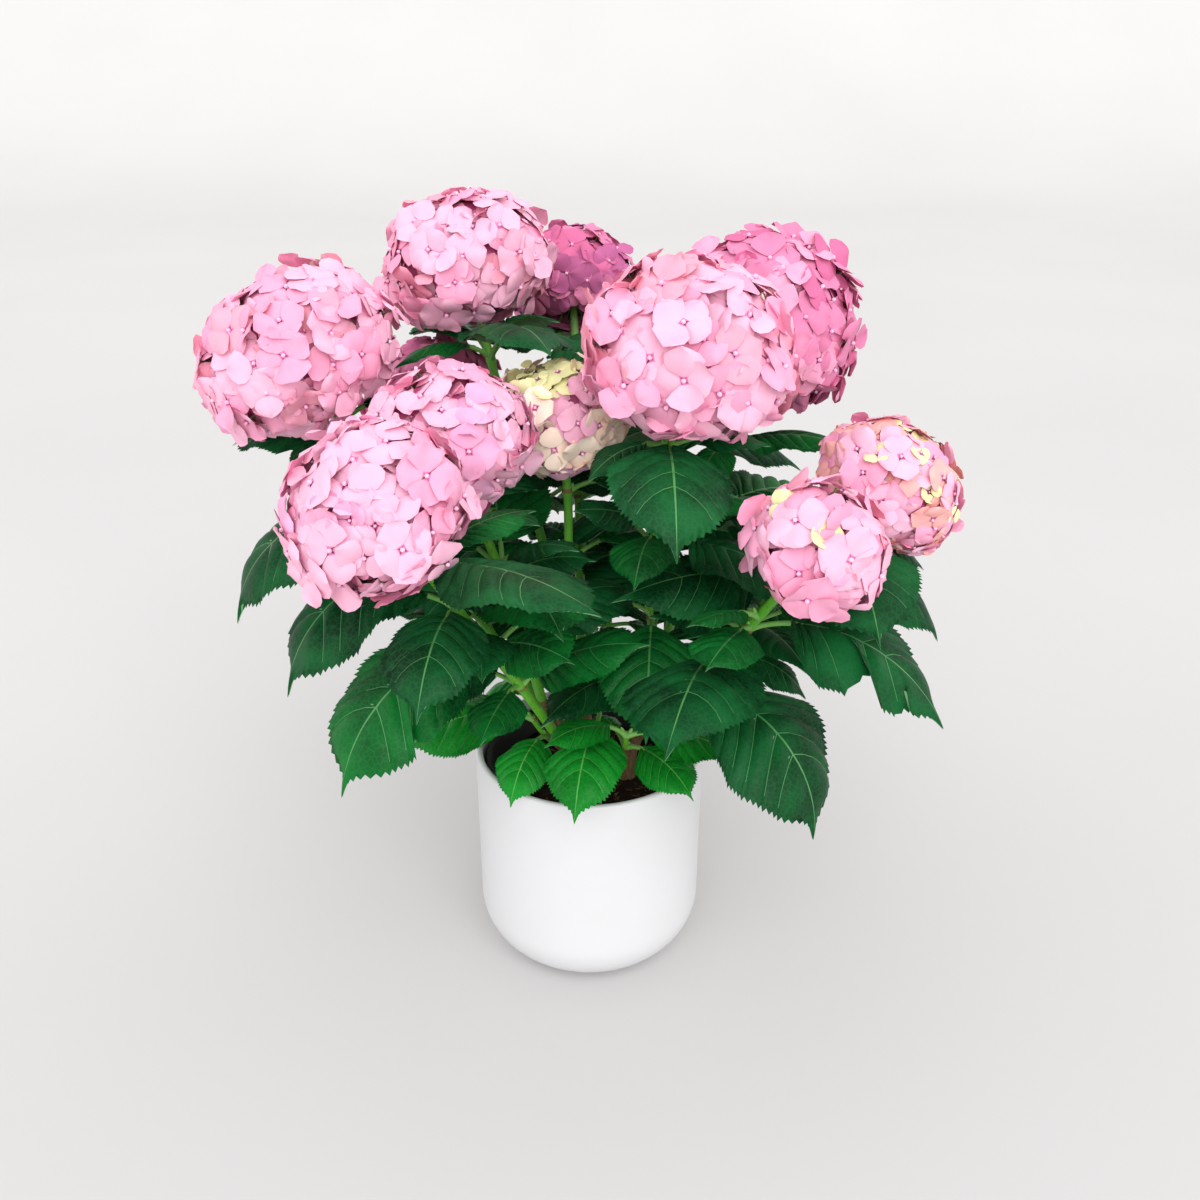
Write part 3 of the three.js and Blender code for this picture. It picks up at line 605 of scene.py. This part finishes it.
def is_free(leaf, owner):
    """Whether a leaf keeps clear of the pot, the flower heads and all that has taken room so far."""
    blade, petiole = leaf_points(leaf)
    wide = np.hypot(blade[:, 0], blade[:, 1])
    if ((wide < POT["radius"] + TEST["pot_gap"]) & (blade[:, 2] < POT["height"] + TEST["pot_gap"])).any():
        return False
    for shoot in flowering:
        offset = blade - shoot["centre"]
        along = offset @ shoot["axis"]
        across = np.sqrt(np.maximum(0, (offset ** 2).sum(axis=1) - along ** 2))
        tall = shoot["bloom"] * shoot["tall"] * np.where(along > 0, BLOOM["crown"], BLOOM["skirt"])
        wide = shoot["bloom"] + TEST["bloom_gap"]
        if ((across / wide) ** 2 + (along / (tall + TEST["bloom_gap"])) ** 2 < 1).any():
            return False
    return not taken.hits(blade, TEST["gap"]) and not taken.hits(petiole, TEST["petiole_gap"], owner)


def fitted(leaf, owner):
    """The leaf as it fits: as asked if that is free, or else after the first try that is."""
    for size in SMALLER:
        for aside, more in TRIES:
            tried = {**leaf, "length": leaf["length"] * size, "turn": leaf["turn"] + aside,
                     "droop": leaf["droop"] + more, "rise": leaf["rise"] - more * 0.6}
            if is_free(tried, owner):
                return tried
    return None


def grow(shoot, leaf, least=0):
    """Adds a leaf to its shoot if it fits there and is longer than the least length."""
    fit = fitted(leaf, shoot["index"])
    if fit and fit["length"] > least:
        blade, petiole = leaf_points(fit)
        taken.take(blade, 0, LEAF_OWNER)
        taken.take(petiole, LEAF["petiole_radius"], LEAF_OWNER)
        shoot["leaves"].append(fit)


taken = Taken()
for cane in CANES.values():
    taken.take(cane_bend(cane).point(np.arange(9) / 8), CANE["foot_radius"], CANE_OWNER)
for shoot in shoots:
    beads = math.ceil(shoot["length"] / 7)
    taken.take(shoot["bend"].point(np.arange(1, beads + 1) / beads), TEST["stem_gap"] - TEST["gap"],
               shoot["index"])

for shoot in shoots:
    random = numbers_from(SEED * (shoot["index"] + 1))
    for pair, (below, turn, length, droop, opposite_droop) in enumerate(shoot["pairs"]):
        root = shoot["bend"].point(max(0.02, 1 - below / shoot["length"]))
        for way, fall in ((turn, droop), (turn + 180, opposite_droop)):
            leaf = {"root": root, "pair": pair, "first": way == turn}
            leaf["turn"] = way + (next(random) * 2 - 1) * 4
            leaf["length"] = length * (1 + (next(random) * 2 - 1) * 0.05)
            leaf["droop"] = fall + (next(random) * 2 - 1) * 4
            leaf["rise"] = LEAF["rise"] + (next(random) * 2 - 1) * 6
            leaf["roll"] = (next(random) * 2 - 1) * 12
            leaf["petiole_share"] = 0.6 if length < 90 else 1
            grow(shoot, leaf)

# Small leaves from the axils fill the inside of the bush, set crosswise to the pair at their node and,
# higher up, askew to it. They take only room that the others leave. The middle stem, hemmed in by its
# neighbours, has none. Their pairs count on from AXIL.
AXIL = 10
AXIL_WAYS = {3: (90, -90), 15: (45, -135)}
AXIL_LENGTHS = (48, 82)
AXIL_LEAST = 36
for shoot in flowering:
    if shoot["name"] == "middle":
        continue
    rng = np.random.default_rng(300 + shoot["index"])
    for pair, (below, turn, *_) in enumerate(shoot["pairs"]):
        for lift, ways in AXIL_WAYS.items():
            root = shoot["bend"].point(max(0.03, 1 - (below - lift) / shoot["length"]))
            for way in ways:
                grow(shoot, {"root": root, "pair": pair + AXIL, "first": False, "petiole_share": 0.6,
                             "turn": turn + way + rng.normal(0, 9),
                             "length": rng.uniform(*AXIL_LENGTHS) * (1 if pair else 0.75),
                             "droop": rng.uniform(10, 50), "rise": rng.uniform(20, 44),
                             "roll": rng.normal(0, 12)}, AXIL_LEAST)


def leaf_material(name, tones, net, roughness):
    """A living blade: a waxy upper skin, mottled, under a net of fine paler veinlets."""
    material, shader, place, mottle, green = mottled(
        name, tones, 35, 4, {"Roughness": roughness, "IOR": 1.4, "Specular IOR Level": 0.2})
    add_node(material, "ShaderNodeMapRange", {}, {1: 0.36, 2: 0.64}, {0: mottle.outputs["Fac"]},
             {0: green.inputs[0]})
    cells = add_node(material, "ShaderNodeTexVoronoi", {"feature": "DISTANCE_TO_EDGE"},
                     {"Scale": 1000 / 3.6}, {"Vector": place})
    veinlets = add_node(material, "ShaderNodeMapRange", {}, {1: 0, 2: 0.12, 3: 0.28, 4: 0},
                        {0: cells.outputs["Distance"]})
    add_node(material, "ShaderNodeMix", {"data_type": "RGBA"}, {7: linear(net)},
             {0: veinlets.outputs[0], 6: green.outputs[2]}, {2: shader.inputs["Base Color"]})
    add_node(material, "ShaderNodeBump", {}, {"Strength": 0.35, "Distance": 0.0005},
             {"Height": cells.outputs["Distance"]}, {"Normal": shader.inputs["Normal"]})
    return material


deep_leaf = leaf_material("deep_green_leaf_skin", (0x042E13, 0x0F5829), 0x1F6E3C, 0.5)
mid_leaf = leaf_material("mid_green_leaf_skin", (0x034016, 0x0D6C28), 0x22803E, 0.48)
young_leaf = leaf_material("young_green_leaf_skin", (0x066C1A, 0x138C28), 0x2F9E3C, 0.42)

# The main veins are paler and smoother than the blade. The underside is pale, dull and downy.
leaf_vein = mottled("pale_leaf_vein", (0x2C7440, 0x5F9E57), 15, 2, {"Roughness": 0.45})[0]
young_vein = mottled("pale_young_vein", (0x3A9A3C, 0x78C25E), 15, 2, {"Roughness": 0.45})[0]
under_leaf = mottled("downy_leaf_underside", (0x4F8655, 0x7CAA78), 8, 4,
                     {"Roughness": 0.7, "Sheen Weight": 0.1})[0]
LEAF_TONES = [deep_leaf, mid_leaf, young_leaf]
YOUNG, VEIN, UNDER, YOUNG_VEIN = 2, 3, 4, 5

# The rows of points of a blade. Each starts at the midrib, sweeps forward and ends on a tooth or in
# the notch between two; a row with a side vein is doubled, so that the vein has a width of its own.
TEETH = 34
TOOTH_PEAK = 0.66
VEIN_TEETH = (5, 9, 14, 18, 22, 25)
VEIN_SWEEP = 2.38
VEIN_HALF = 0.0028
LEAF_COLUMNS = np.array([-1, -0.82, -0.6, -0.38, -0.18, -0.01, 0.01, 0.18, 0.38, 0.6, 0.82, 1])
UNDER_COLUMNS = np.array([-0.97, -0.6, -0.18, 0, 0.18, 0.6, 0.97])
# Heights in millimetres on a blade of the full length.
FULL_BLADE = 110
TOOTH = 2.2
PUCKER = 3.2
RIPPLE = 3.8
GROOVE = 0.45
BLADE_DEPTH = 0.7
rows = [((tooth + part) / TEETH, push, side)
        for tooth in range(TEETH) for part, push in ((0, 0), (TOOTH_PEAK, 1))
        for side in ((-1, 1) if push and tooth in VEIN_TEETH else (0,))]
row_margin, row_push, row_side = np.array([*rows, (1, 0, 0)]).T
row_root = row_margin ** VEIN_SWEEP
vein_margins = np.array([0, *[(tooth + TOOTH_PEAK) / TEETH for tooth in VEIN_TEETH], 1])
between = np.clip(np.searchsorted(vein_margins, row_margin, side="right") - 1, 0, len(vein_margins) - 2)
room = np.diff(vein_margins)[between]
row_pucker = np.sin(np.pi * (row_margin - vein_margins[between]) / room).clip(0) ** 0.7
row_pucker *= np.sqrt(room.clip(0, 0.14) / 0.14)
under_rows = np.flatnonzero((row_push == 0) | (row_side == -1))


def smooth(x, low, high):
    t = np.clip((x - low) / (high - low), 0, 1)
    return t * t * (3 - 2 * t)


row_push = row_push * smooth(row_margin, 0.03, 0.12) * (1 - smooth(row_margin, 0.86, 0.93))
row_pucker *= 1 - smooth(row_margin, 0.78, 0.92)


def blade_points(leaf, columns, lift, wave, tail, bites):
    """The blade's points in rows, one for each of those columns, raised by a lift along its normal."""
    size = leaf["length"] / FULL_BLADE
    part = petiole_part(leaf)
    away = np.abs(columns)[None]
    share = row_root[:, None] + (row_margin - row_root)[:, None] * away ** 1.25
    share = np.clip(share + row_side[:, None] * VEIN_HALF * (1 - 0.6 * away), 0, 1)
    point, tangent, normal, side = midrib(leaf, part + (1 - part) * share)
    half = LEAF["width"] * leaf["length"] * outline(share) * (1 - tail * smooth(share, 0.78, 0.9))
    for bite_side, start, end, depth in bites:
        eaten = np.sin(np.pi * np.clip((row_margin - start) / (end - start), 0, 1)) ** 0.5 * depth
        half = half * np.where(np.sign(columns)[None] == bite_side, 1 - eaten[:, None], 1)
    across = away * half + 0.45 * (1 - share) ** 0.7 * (1 - away)
    push = row_push[:, None] * TOOTH * size * np.where(away > 0.99, 1, np.where(away > 0.8, 0.2, 0))
    fall = LEAF["camber"] * leaf["length"] * outline(share) * away ** 2
    pucker = PUCKER * size * row_pucker[:, None] * (1 - np.exp(-away / 0.1)) * (1 - 0.55 * away ** 3)
    phase = np.where(columns > 0, wave[0], wave[1])[None]
    ripple = RIPPLE * size * np.sin(2 * math.pi * wave[2] * row_margin[:, None] + phase)
    ripple *= away ** 2.5 * (1 - share ** 3)
    groove = GROOVE * size * np.exp(-(away / 0.06) ** 2) * (1 - share)
    height = pucker + ripple - groove - fall + lift
    sideways = side * (np.sign(columns)[None] * (across + push))[..., None]
    return point + sideways + tangent * (push * 0.7)[..., None] + normal * height[..., None]


# Leaves that something has bitten: by shoot, pair and whether it is the pair's first leaf, each bite as
# side, start and end along the margin, and depth as a share of the half blade.
BITES = {
    ("low_right", 0, True): [(1, 0.44, 0.62, 0.72), (1, 0.74, 0.82, 0.4)],
    ("front_left_low", 2, True): [(-1, 0.5, 0.6, 0.3)],
    ("left", 2, True): [(1, 0.62, 0.7, 0.25)],
}
# How far a tip is drawn out into a tail, where it isn't left to chance.
TAILS = {("left", 1, True): 0.85, ("left", 2, True): 0.8, ("front_left_low", 2, True): 0.6}
# The share of a shoot's leaves that are of the middle green. Axil leaves below LOW are often greener.
MID_SHARES = {"front_left_low": 0.6, "middle": 0.6}
MID_SHARE = 0.25
LOW = 240

upper_faces = grid_faces(len(row_margin), len(LEAF_COLUMNS))
under_faces = grid_faces(len(under_rows), len(UNDER_COLUMNS))[:, ::-1]
face_row, face_column = np.divmod(np.arange(len(upper_faces)), len(LEAF_COLUMNS) - 1)
face_away = np.abs(LEAF_COLUMNS[face_column] + LEAF_COLUMNS[face_column + 1]) / 2
is_side_vein = (row_side[face_row] == -1) & (row_side[face_row + 1] == 1) & (face_away < 0.9)
is_vein = (face_away < 0.01) | is_side_vein

for cane_name in CANES:
    foliage = Joined()
    mine = [shoot for shoot in shoots if shoot["cane"] == cane_name]
    for shoot in mine:
        rng = np.random.default_rng(500 + shoot["index"])
        for leaf in shoot["leaves"]:
            wave = (*rng.random(2) * 2 * math.pi, rng.uniform(1.2, 2.4))
            tail = TAILS.get((shoot["name"], leaf["pair"], leaf["first"]), rng.uniform(0.35, 0.7))
            tone = int(rng.random() < MID_SHARES.get(shoot["name"], MID_SHARE)) if "bloom" in shoot else YOUNG
            if leaf["pair"] >= AXIL and leaf["root"][2] < LOW and rng.random() < 0.5:
                tone = min(tone + 1, YOUNG)
            bites = BITES.get((shoot["name"], leaf["pair"], leaf["first"]), ())
            upper = blade_points(leaf, LEAF_COLUMNS, 0, wave, tail, bites)
            under = blade_points(leaf, UNDER_COLUMNS, -BLADE_DEPTH, wave, tail, bites)[under_rows]
            vein = YOUNG_VEIN if tone == YOUNG else VEIN
            foliage.add(upper.reshape(-1, 3), upper_faces, np.where(is_vein, vein, tone))
            foliage.add(under.reshape(-1, 3), under_faces, UNDER)
    foliage.piece("leaves_on_" + cane_name + "_cane", [*LEAF_TONES, leaf_vein, under_leaf, young_vein],
                  nodes=[("leaves_" if "bloom" in shoot else "sprout_") + shoot["name"] for shoot in mine],
                  slot="leaf")

# The petioles run on under the blades as raised midribs. With the stems and the small buds that sit in
# their axils they make one piece for each cane.
petiole_green = mottled("pale_green_petiole", (0x4F9A38, 0x8FC266), 12, 2, {"Roughness": 0.5})[0]
GREEN, CORKY, PETIOLE = 0, 1, 2

PETIOLE_SIDES = 7
BUD_SIDES = 6
BUD_RADIUS = 1.5
RIB_RADIUS = 1.35
STEM_STEP = 2.8
SPROUT_SCALE = 0.7
NODE = {"swell": 0.9, "reach": 3.2, "scar": 1.6}
bud_shares = np.array([0, 0.15, 0.4, 0.7, 0.9, 1])
bud_radii = BUD_RADIUS * np.sin(np.pi * (0.12 + 0.86 * bud_shares)) ** 0.8
for cane_name in CANES:
    wood = Joined()
    mine = [shoot for shoot in shoots if shoot["cane"] == cane_name]
    for shoot in mine:
        rng = np.random.default_rng(700 + shoot["index"])
        scale = 1 if "bloom" in shoot else SPROUT_SCALE
        share = np.linspace(0, 1, int(shoot["length"] / STEM_STEP))
        walked = share * shoot["length"]
        radius = (STEM["base"] + (STEM["neck"] - STEM["base"]) * share) * scale
        slots = np.where(walked < 12 + 6 * rng.random(), CORKY, GREEN)
        for below, *_ in shoot["pairs"]:
            past = walked - (shoot["length"] - below)
            radius = radius + NODE["swell"] * scale * np.exp(-(past / NODE["reach"]) ** 2)
            if rng.random() < 0.5:
                slots = np.where(np.abs(past + 1) < NODE["scar"], CORKY, slots)
        add_tube(wood, shoot["bend"].point(share), shoot["bend"].tangent(share), radius, STEM_SIDES,
                 np.repeat(slots[:-1], STEM_SIDES))
        for leaf in shoot["leaves"]:
            part = petiole_part(leaf)
            share = np.concatenate([np.linspace(0, part, 7), part + (1 - part) * np.linspace(0.08, 0.86, 8)])
            point, tangent, normal, _ = midrib(leaf, share)
            walked = share * LEAF["petiole"] * leaf["petiole_share"] / part
            blade = np.clip((share - part) / (1 - part), 0, 1)
            clasp = LEAF["petiole_radius"] * (1 + 0.75 * np.exp(-(walked / 5) ** 2))
            radius = np.where(share <= part, clasp, RIB_RADIUS * (1 - blade) ** 1.2 + 0.12)
            point = point - normal * np.where(share <= part, 0.3, radius + 0.35)[:, None]
            add_tube(wood, point, tangent, radius, PETIOLE_SIDES, PETIOLE)
            out = heading(leaf["turn"], 0)
            start = leaf["root"] + out * 2.6 * scale + UP * 1.5
            way = (out * 0.45 + UP) * rng.uniform(3.5, 7)
            centres = start + way * bud_shares[:, None]
            tangents = np.broadcast_to(way / np.linalg.norm(way), centres.shape)
            add_tube(wood, centres, tangents, bud_radii, BUD_SIDES, PETIOLE)
    wood.piece("stems_on_" + cane_name + "_cane", [green_stem, corky_stem, petiole_green],
               nodes=["stem_" + shoot["name"] for shoot in mine if "bloom" in shoot], slot="green_stem")

# --------------------------------------------------------------------------------- flower heads
# Each mophead is a dome of sterile florets on a branched stalk. A floret is four broad sepals, soft and
# matt, that overlap crosswise round a bead the size of a pinhead. They open cream-green and turn pink.

GOLDEN_TURN = math.pi * (3 - math.sqrt(5))
# How many florets a wide open head of the full radius has, and how far they go down from its crown.
FLORETS = 150
FULL_HEAD = 65
SPREAD = 144
SKIRT_FULLNESS = 1.16
SEPAL_LENGTH = 19.4
SEPAL_ROWS = (0, 0.08, 0.25, 0.48, 0.72, 0.9, 1)
SEPAL_ACROSS = 6
# How far florets stand below the head's surface: those fully grown, near the crown and younger.
SUNK = {"full": 3, "crown": 5, "young": 8}
YOUNG_TONES = (0.35, 0.4, 0.25)
LUMP = 1.25
BEAD = {"radius": 1.65, "for": 20, "lift": 0.9, "sides": 7}
# The cap of inner sepals: how far down it goes, in degrees, and how far below the surface it lies.
CAP = {"rings": 18, "sides": 40, "reach": 135, "below": 10.5, "crumple": 1.1}


def sepal_material(name, *tones):
    """Sepal tissue: thin, soft and matt, faintly mottled and creased every few millimetres."""
    material, shader, _, blush, _ = mottled(name, tones, 11, 3, {"Roughness": 0.7, "IOR": 1.38,
                                                                 "Specular IOR Level": 0.25})
    add_node(material, "ShaderNodeBump", {}, {"Strength": 0.15, "Distance": 0.0004},
             {"Height": blush.outputs["Fac"]}, {"Normal": shader.inputs["Normal"]})
    return material


pale_pink = sepal_material("pale_pink_sepal", 0xF8C4D9, 0xF4ADC9)
soft_pink = sepal_material("soft_pink_sepal", 0xF6B1CC, 0xF09ABB)
warm_pink = sepal_material("warm_pink_sepal", 0xF7B0C4, 0xF09AB0)
rose_pink = sepal_material("rose_pink_sepal", 0xE692B6, 0xDB7CA5)
deep_rose = sepal_material("deep_rose_sepal", 0xDA78A2, 0xCE6694)
lilac_pink = sepal_material("lilac_pink_sepal", 0xF3B5D4, 0xECA1C7)
purple_pink = sepal_material("purple_pink_sepal", 0xCB74A2, 0xB95E92)
cream = sepal_material("cream_green_sepal", 0xF4F0C0, 0xEAEAA4)
blush_cream = sepal_material("blush_cream_sepal", 0xFFF1DE, 0xFEE0CC)
peach = sepal_material("peach_sepal", 0xF8BDB2, 0xF2A9AA)
throat = sepal_material("deep_pink_throat", 0xEB8EBB, 0xDC6EA5)
bead = sepal_material("pale_pink_bead", 0xFCDAEC, 0xF4ACD0)
# The cap of inner sepals gets a deeper rose than any floret: painted shade for the depths of the heads.
inner_shade = sepal_material("inner_sepals_painted_shade", 0xE27AA6, 0xC9508C)
CROWN_TONE, THROAT_TONE, BEAD_TONE, INNER_TONE, STALK_TONE = 3, 4, 5, 6, 7

# What each head's florets are made of: three sepal tones and the tone of the young florets near the
# crown, the shares of the three, the share of those young ones, and how far open the head is.
HEADS = {
    "front_right": ([pale_pink, soft_pink, warm_pink, blush_cream], (0.5, 0.38, 0.12), 0.1, 0.96),
    "front_left_high": ([pale_pink, soft_pink, lilac_pink, blush_cream], (0.6, 0.2, 0.2), 0.0, 0.8),
    "middle": ([blush_cream, pale_pink, blush_cream, cream], (0.5, 0.25, 0.25), 1.0, 0.68),
    "left": ([pale_pink, soft_pink, warm_pink, blush_cream], (0.45, 0.4, 0.15), 0.05, 0.82),
    "front_left_low": ([pale_pink, soft_pink, lilac_pink, blush_cream], (0.6, 0.25, 0.15), 0.0, 0.82),
    "far_right": ([peach, pale_pink, soft_pink, cream], (0.4, 0.35, 0.25), 0.7, 0.68),
    "low_right": ([pale_pink, soft_pink, warm_pink, cream], (0.45, 0.4, 0.15), 0.35, 0.88),
    "back_right": ([rose_pink, deep_rose, soft_pink, deep_rose], (0.65, 0.1, 0.25), 0.2, 0.92),
    "high_left": ([pale_pink, soft_pink, warm_pink, blush_cream], (0.65, 0.2, 0.15), 0.0, 0.84),
    "back": ([purple_pink, rose_pink, deep_rose, deep_rose], (0.45, 0.35, 0.2), 0.2, 0.8),
    # The rear_left head's deep rose tones are painted shade, for the deep shadow that it stands in behind the
    # heads in front.
    "rear_left": ([rose_pink, deep_rose, soft_pink, deep_rose], (0.5, 0.3, 0.2), 0.2, 0.86),
    "rear_right": ([soft_pink, rose_pink, warm_pink, pale_pink], (0.45, 0.3, 0.25), 0.2, 0.88),
}
# How much fuller a head is than its dome, where it is.
PUFF = {"left": 1.04, "middle": 1.1, "front_left_high": 1.06, "front_left_low": 1.03}
SLOTS = {"middle": "petals_cream", "far_right": "petals_peach", "back_right": "petals_deep_pink",
         "back": "petals_purple_pink", "rear_left": "petals_deep_pink"}

# One sepal of unit length: rows from its narrow claw to its blunt tip, each across from edge to edge.
sepal_along = np.repeat(np.array(SEPAL_ROWS), SEPAL_ACROSS).reshape(-1, SEPAL_ACROSS)
sepal_across = np.tile(np.linspace(-1, 1, SEPAL_ACROSS), (len(SEPAL_ROWS), 1))
sepal_half = 0.64 * np.sin(np.pi * sepal_along ** 1.1).clip(0) ** 0.78
sepal_tip = np.where(sepal_along == 1, 0, 1)
sepal_faces = grid_faces(*sepal_along.shape)
sepal_row = np.arange(len(sepal_faces)) // (SEPAL_ACROSS - 1)
bead_profile = [[math.cos(a), math.sin(a)] for a in np.radians((-30, 15, 60, 88))]
bead_points = turned(bead_profile, BEAD["sides"])
bead_faces = grid_faces(len(bead_profile), BEAD["sides"], closed=True)


def add_sepal(head, place, face, out, size, young, tone, flat, radius):
    """Adds one sepal that reaches out from a floret's middle, hinged at its claw and a little curled."""
    aside = np.cross(face, out)
    length = size * rng.uniform(0.86, 1.06)
    hinge = math.radians(rng.normal(16 if young else 3, 16 if young else 12))
    curl, roll = rng.uniform(-0.2, 0.1), rng.uniform(-0.32, 0.1)
    twist, phase = rng.normal(0, 0.1), rng.random() * 6.3
    x = sepal_along * length
    y = sepal_across * sepal_half * length * (1 + 0.09 * np.sin(7 * sepal_along + phase * sepal_across))
    z = curl * length * sepal_along ** 3 + 0.12 * length * sepal_along * (1 - sepal_along)
    z = z + roll * length * sepal_half * sepal_across ** 2 + twist * y * sepal_along
    ruffle = np.sin(3.6 * sepal_across + phase + 3 * sepal_along) * sepal_along ** 1.3 * sepal_tip
    z = z + 0.09 * length * ruffle
    x, z = 1.0 + x * math.cos(hinge) - z * math.sin(hinge), x * math.sin(hinge) + z * math.cos(hinge)
    z = z + flat - x * x / (3.4 * radius)
    points = place + out * x[..., None] + aside * y[..., None] + face * z[..., None]
    head.add(points.reshape(-1, 3), sepal_faces, np.where(sepal_row < 1, THROAT_TONE, tone))


def lumps(ways, slopes, starts):
    """How far the head's surface sinks towards its middle in each direction, in gentle lumps."""
    return np.sin(ways @ slopes + starts).sum(axis=-1) * LUMP


for shoot in flowering:
    rng = np.random.default_rng(900 + shoot["index"])
    tones, shares, crown_share, openness = HEADS[shoot["name"]]
    head = Joined()
    radius, axis, centre = shoot["bloom"] * PUFF.get(shoot["name"], 1), shoot["axis"], shoot["centre"]
    east = np.cross([0, 1, 0], axis)
    east /= np.linalg.norm(east)
    turn = np.stack([east, np.cross(axis, east), axis])
    crowding = (0.5 + 0.5 / openness ** 2) * (1.1 if shoot["tall"] > 1.1 else 1)
    count = int(FLORETS * (radius / FULL_HEAD) ** 2 * crowding)
    hub = centre - axis * radius * shoot["tall"] * 0.25
    slopes, starts = rng.normal(0, 4, (3, 4)), rng.random(4) * 6.3
    for i in range(count):
        polar = math.acos(1 - (i + 0.5) / count * (1 - math.cos(math.radians(SPREAD))))
        azimuth = i * GOLDEN_TURN + rng.normal(0, 0.08)
        way = np.array([math.sin(polar) * math.cos(azimuth), math.sin(polar) * math.sin(azimuth),
                        math.cos(polar)])
        fullness = BLOOM["crown"] if way[2] > 0 else BLOOM["skirt"] * SKIRT_FULLNESS
        squash = np.array([1, 1, shoot["tall"] * fullness])
        # Every other floret is a younger one, squeezed in lower down between its neighbours.
        young = i % 2
        size = SEPAL_LENGTH * openness * (rng.uniform(0.58, 0.8) if young else rng.uniform(0.88, 1.14))
        tone = int(rng.choice(3, p=YOUNG_TONES if young else shares))
        if (young or crown_share > 0.9) and rng.random() < crown_share * (1.3 - polar):
            tone, size = CROWN_TONE, size * 0.85
        sunk = SUNK["crown" if tone == CROWN_TONE else "young" if young else "full"]
        sunk = sunk + rng.uniform(-2, 2) + lumps(way, slopes, starts)
        face = way / squash
        face = face / np.linalg.norm(face) + 0.25 * way + rng.normal(0, 0.28 if young else 0.2, 3)
        face = turn.T @ (face / np.linalg.norm(face))
        place = centre + turn.T @ (way * squash * (radius - sunk))
        first = np.cross(face, rng.normal(0, 1, 3))
        first /= np.linalg.norm(first)
        second = np.cross(face, first)
        for k in range(4):
            way_round = k * math.pi / 2 + rng.normal(0, 0.1)
            out = first * math.cos(way_round) + second * math.sin(way_round)
            add_sepal(head, place, face, out, size, young, tone, 0.35 if k % 2 else -0.2, radius)
        knob = bead_points * (BEAD["radius"] * size / BEAD["for"]) + np.array([0, 0, BEAD["lift"]])
        knob = place + knob[:, :1] * first + knob[:, 1:2] * second + knob[:, 2:] * face
        head.add(knob, bead_faces, BEAD_TONE)
        bend = Bend(hub, hub + (place - hub) * 0.5 + axis * radius * 0.12, place - face * 0.5)
        steps = np.linspace(0, 1, 4)
        add_tube(head, bend.point(steps), bend.tangent(steps), np.linspace(1.1, 0.6, 4), 4, STALK_TONE)
    # The inner sepals, as a crumpled cap, keep daylight from showing through the head; their deeper rose is
    # painted shade, standing for the shadow deep among the florets.
    polar = np.linspace(0.02, math.radians(CAP["reach"]), CAP["rings"])[:, None]
    angle = np.arange(CAP["sides"])[None] * (2 * math.pi / CAP["sides"])
    cap = np.stack([np.sin(polar) * np.cos(angle), np.sin(polar) * np.sin(angle),
                    np.cos(polar) + 0 * angle], axis=-1)
    deep = radius - CAP["below"] - lumps(cap, slopes, starts) + rng.normal(0, CAP["crumple"], cap.shape[:2])
    cap[..., 2] *= shoot["tall"] * np.where(cap[..., 2] > 0, BLOOM["crown"], BLOOM["skirt"])
    cap *= deep[..., None]
    cap_faces = grid_faces(CAP["rings"], CAP["sides"], closed=True)
    head.add(centre + cap.reshape(-1, 3) @ turn, cap_faces, INNER_TONE)
    stalk = np.linspace(0, 1, 6)[:, None]
    centres = shoot["neck"] - axis * 1.5 + (hub + axis * 2 - shoot["neck"]) * stalk
    add_tube(head, centres, np.broadcast_to(axis, (6, 3)), np.full(6, STEM["neck"]), 10, STALK_TONE)
    head.piece("mophead_" + shoot["name"], [*tones, throat, bead, inner_shade, petiole_green],
               nodes=["bloom_" + shoot["name"]], slot=SLOTS.get(shoot["name"], "petals_pink"))

# ------------------------------------------------------------------------ floor, light and camera
# A plain pale floor that sweeps up far behind the plant, so that no horizon shows, under a broad soft
# light from the front and above and a bright even studio.

FOCAL_MM = 36.87
CAMERA_AT = (0.0083, -0.791, 0.666)
CAMERA_DOWN = 25.4
LIGHT = {"strength": 1.7, "spread": 55, "turn": (54, 0, 8)}
AIR = {"tone": 0xF4F4F6, "strength": 1.27}
FLOOR_HALF = 14
FLOOR_PATCH = 833.3

# A floor of matt pale paint, very faintly clouded.
floor_paint = mottled("pale_matt_floor", (0xC8C6C5, 0xD0CECD), FLOOR_PATCH, 2,
                      {"Roughness": 0.75, "Specular IOR Level": 0.2})[0]
curve = [(4 + 3 * math.sin(a), 3 - 3 * math.cos(a)) for a in np.radians(np.arange(6, 91, 6))]
sweep = [(-8, 0), (4, 0), *curve, (7, 12)]
floor_mesh = bpy.data.meshes.new("floor")
floor_mesh.from_pydata([(x, y, z) for y, z in sweep for x in (-FLOOR_HALF, FLOOR_HALF)], [],
                       [(2 * i, 2 * i + 1, 2 * i + 3, 2 * i + 2) for i in range(len(sweep) - 1)])
floor_mesh.materials.append(floor_paint)
floor_mesh.shade_smooth()
add_object("floor", floor_mesh)

world = bpy.data.worlds.new("studio_air")
bpy.context.scene.world = world
world.use_nodes = True
background = world.node_tree.nodes["Background"]
background.inputs["Color"].default_value = linear(AIR["tone"])
background.inputs["Strength"].default_value = AIR["strength"]

lamp = bpy.data.lights.new("soft_skylight", "SUN")
lamp.energy = LIGHT["strength"]
lamp.angle = math.radians(LIGHT["spread"])
add_object("soft_skylight", lamp).rotation_euler = [math.radians(angle) for angle in LIGHT["turn"]]

camera_data = bpy.data.cameras.new("camera")
camera_data.lens = FOCAL_MM
camera_data.sensor_width = 36
camera_data.sensor_fit = "HORIZONTAL"
camera = add_object("camera", camera_data)
camera.location = CAMERA_AT
camera.rotation_euler = (math.radians(90 - CAMERA_DOWN), 0, 0)
bpy.context.scene.camera = camera
bpy.context.scene.view_settings.view_transform = "Standard"
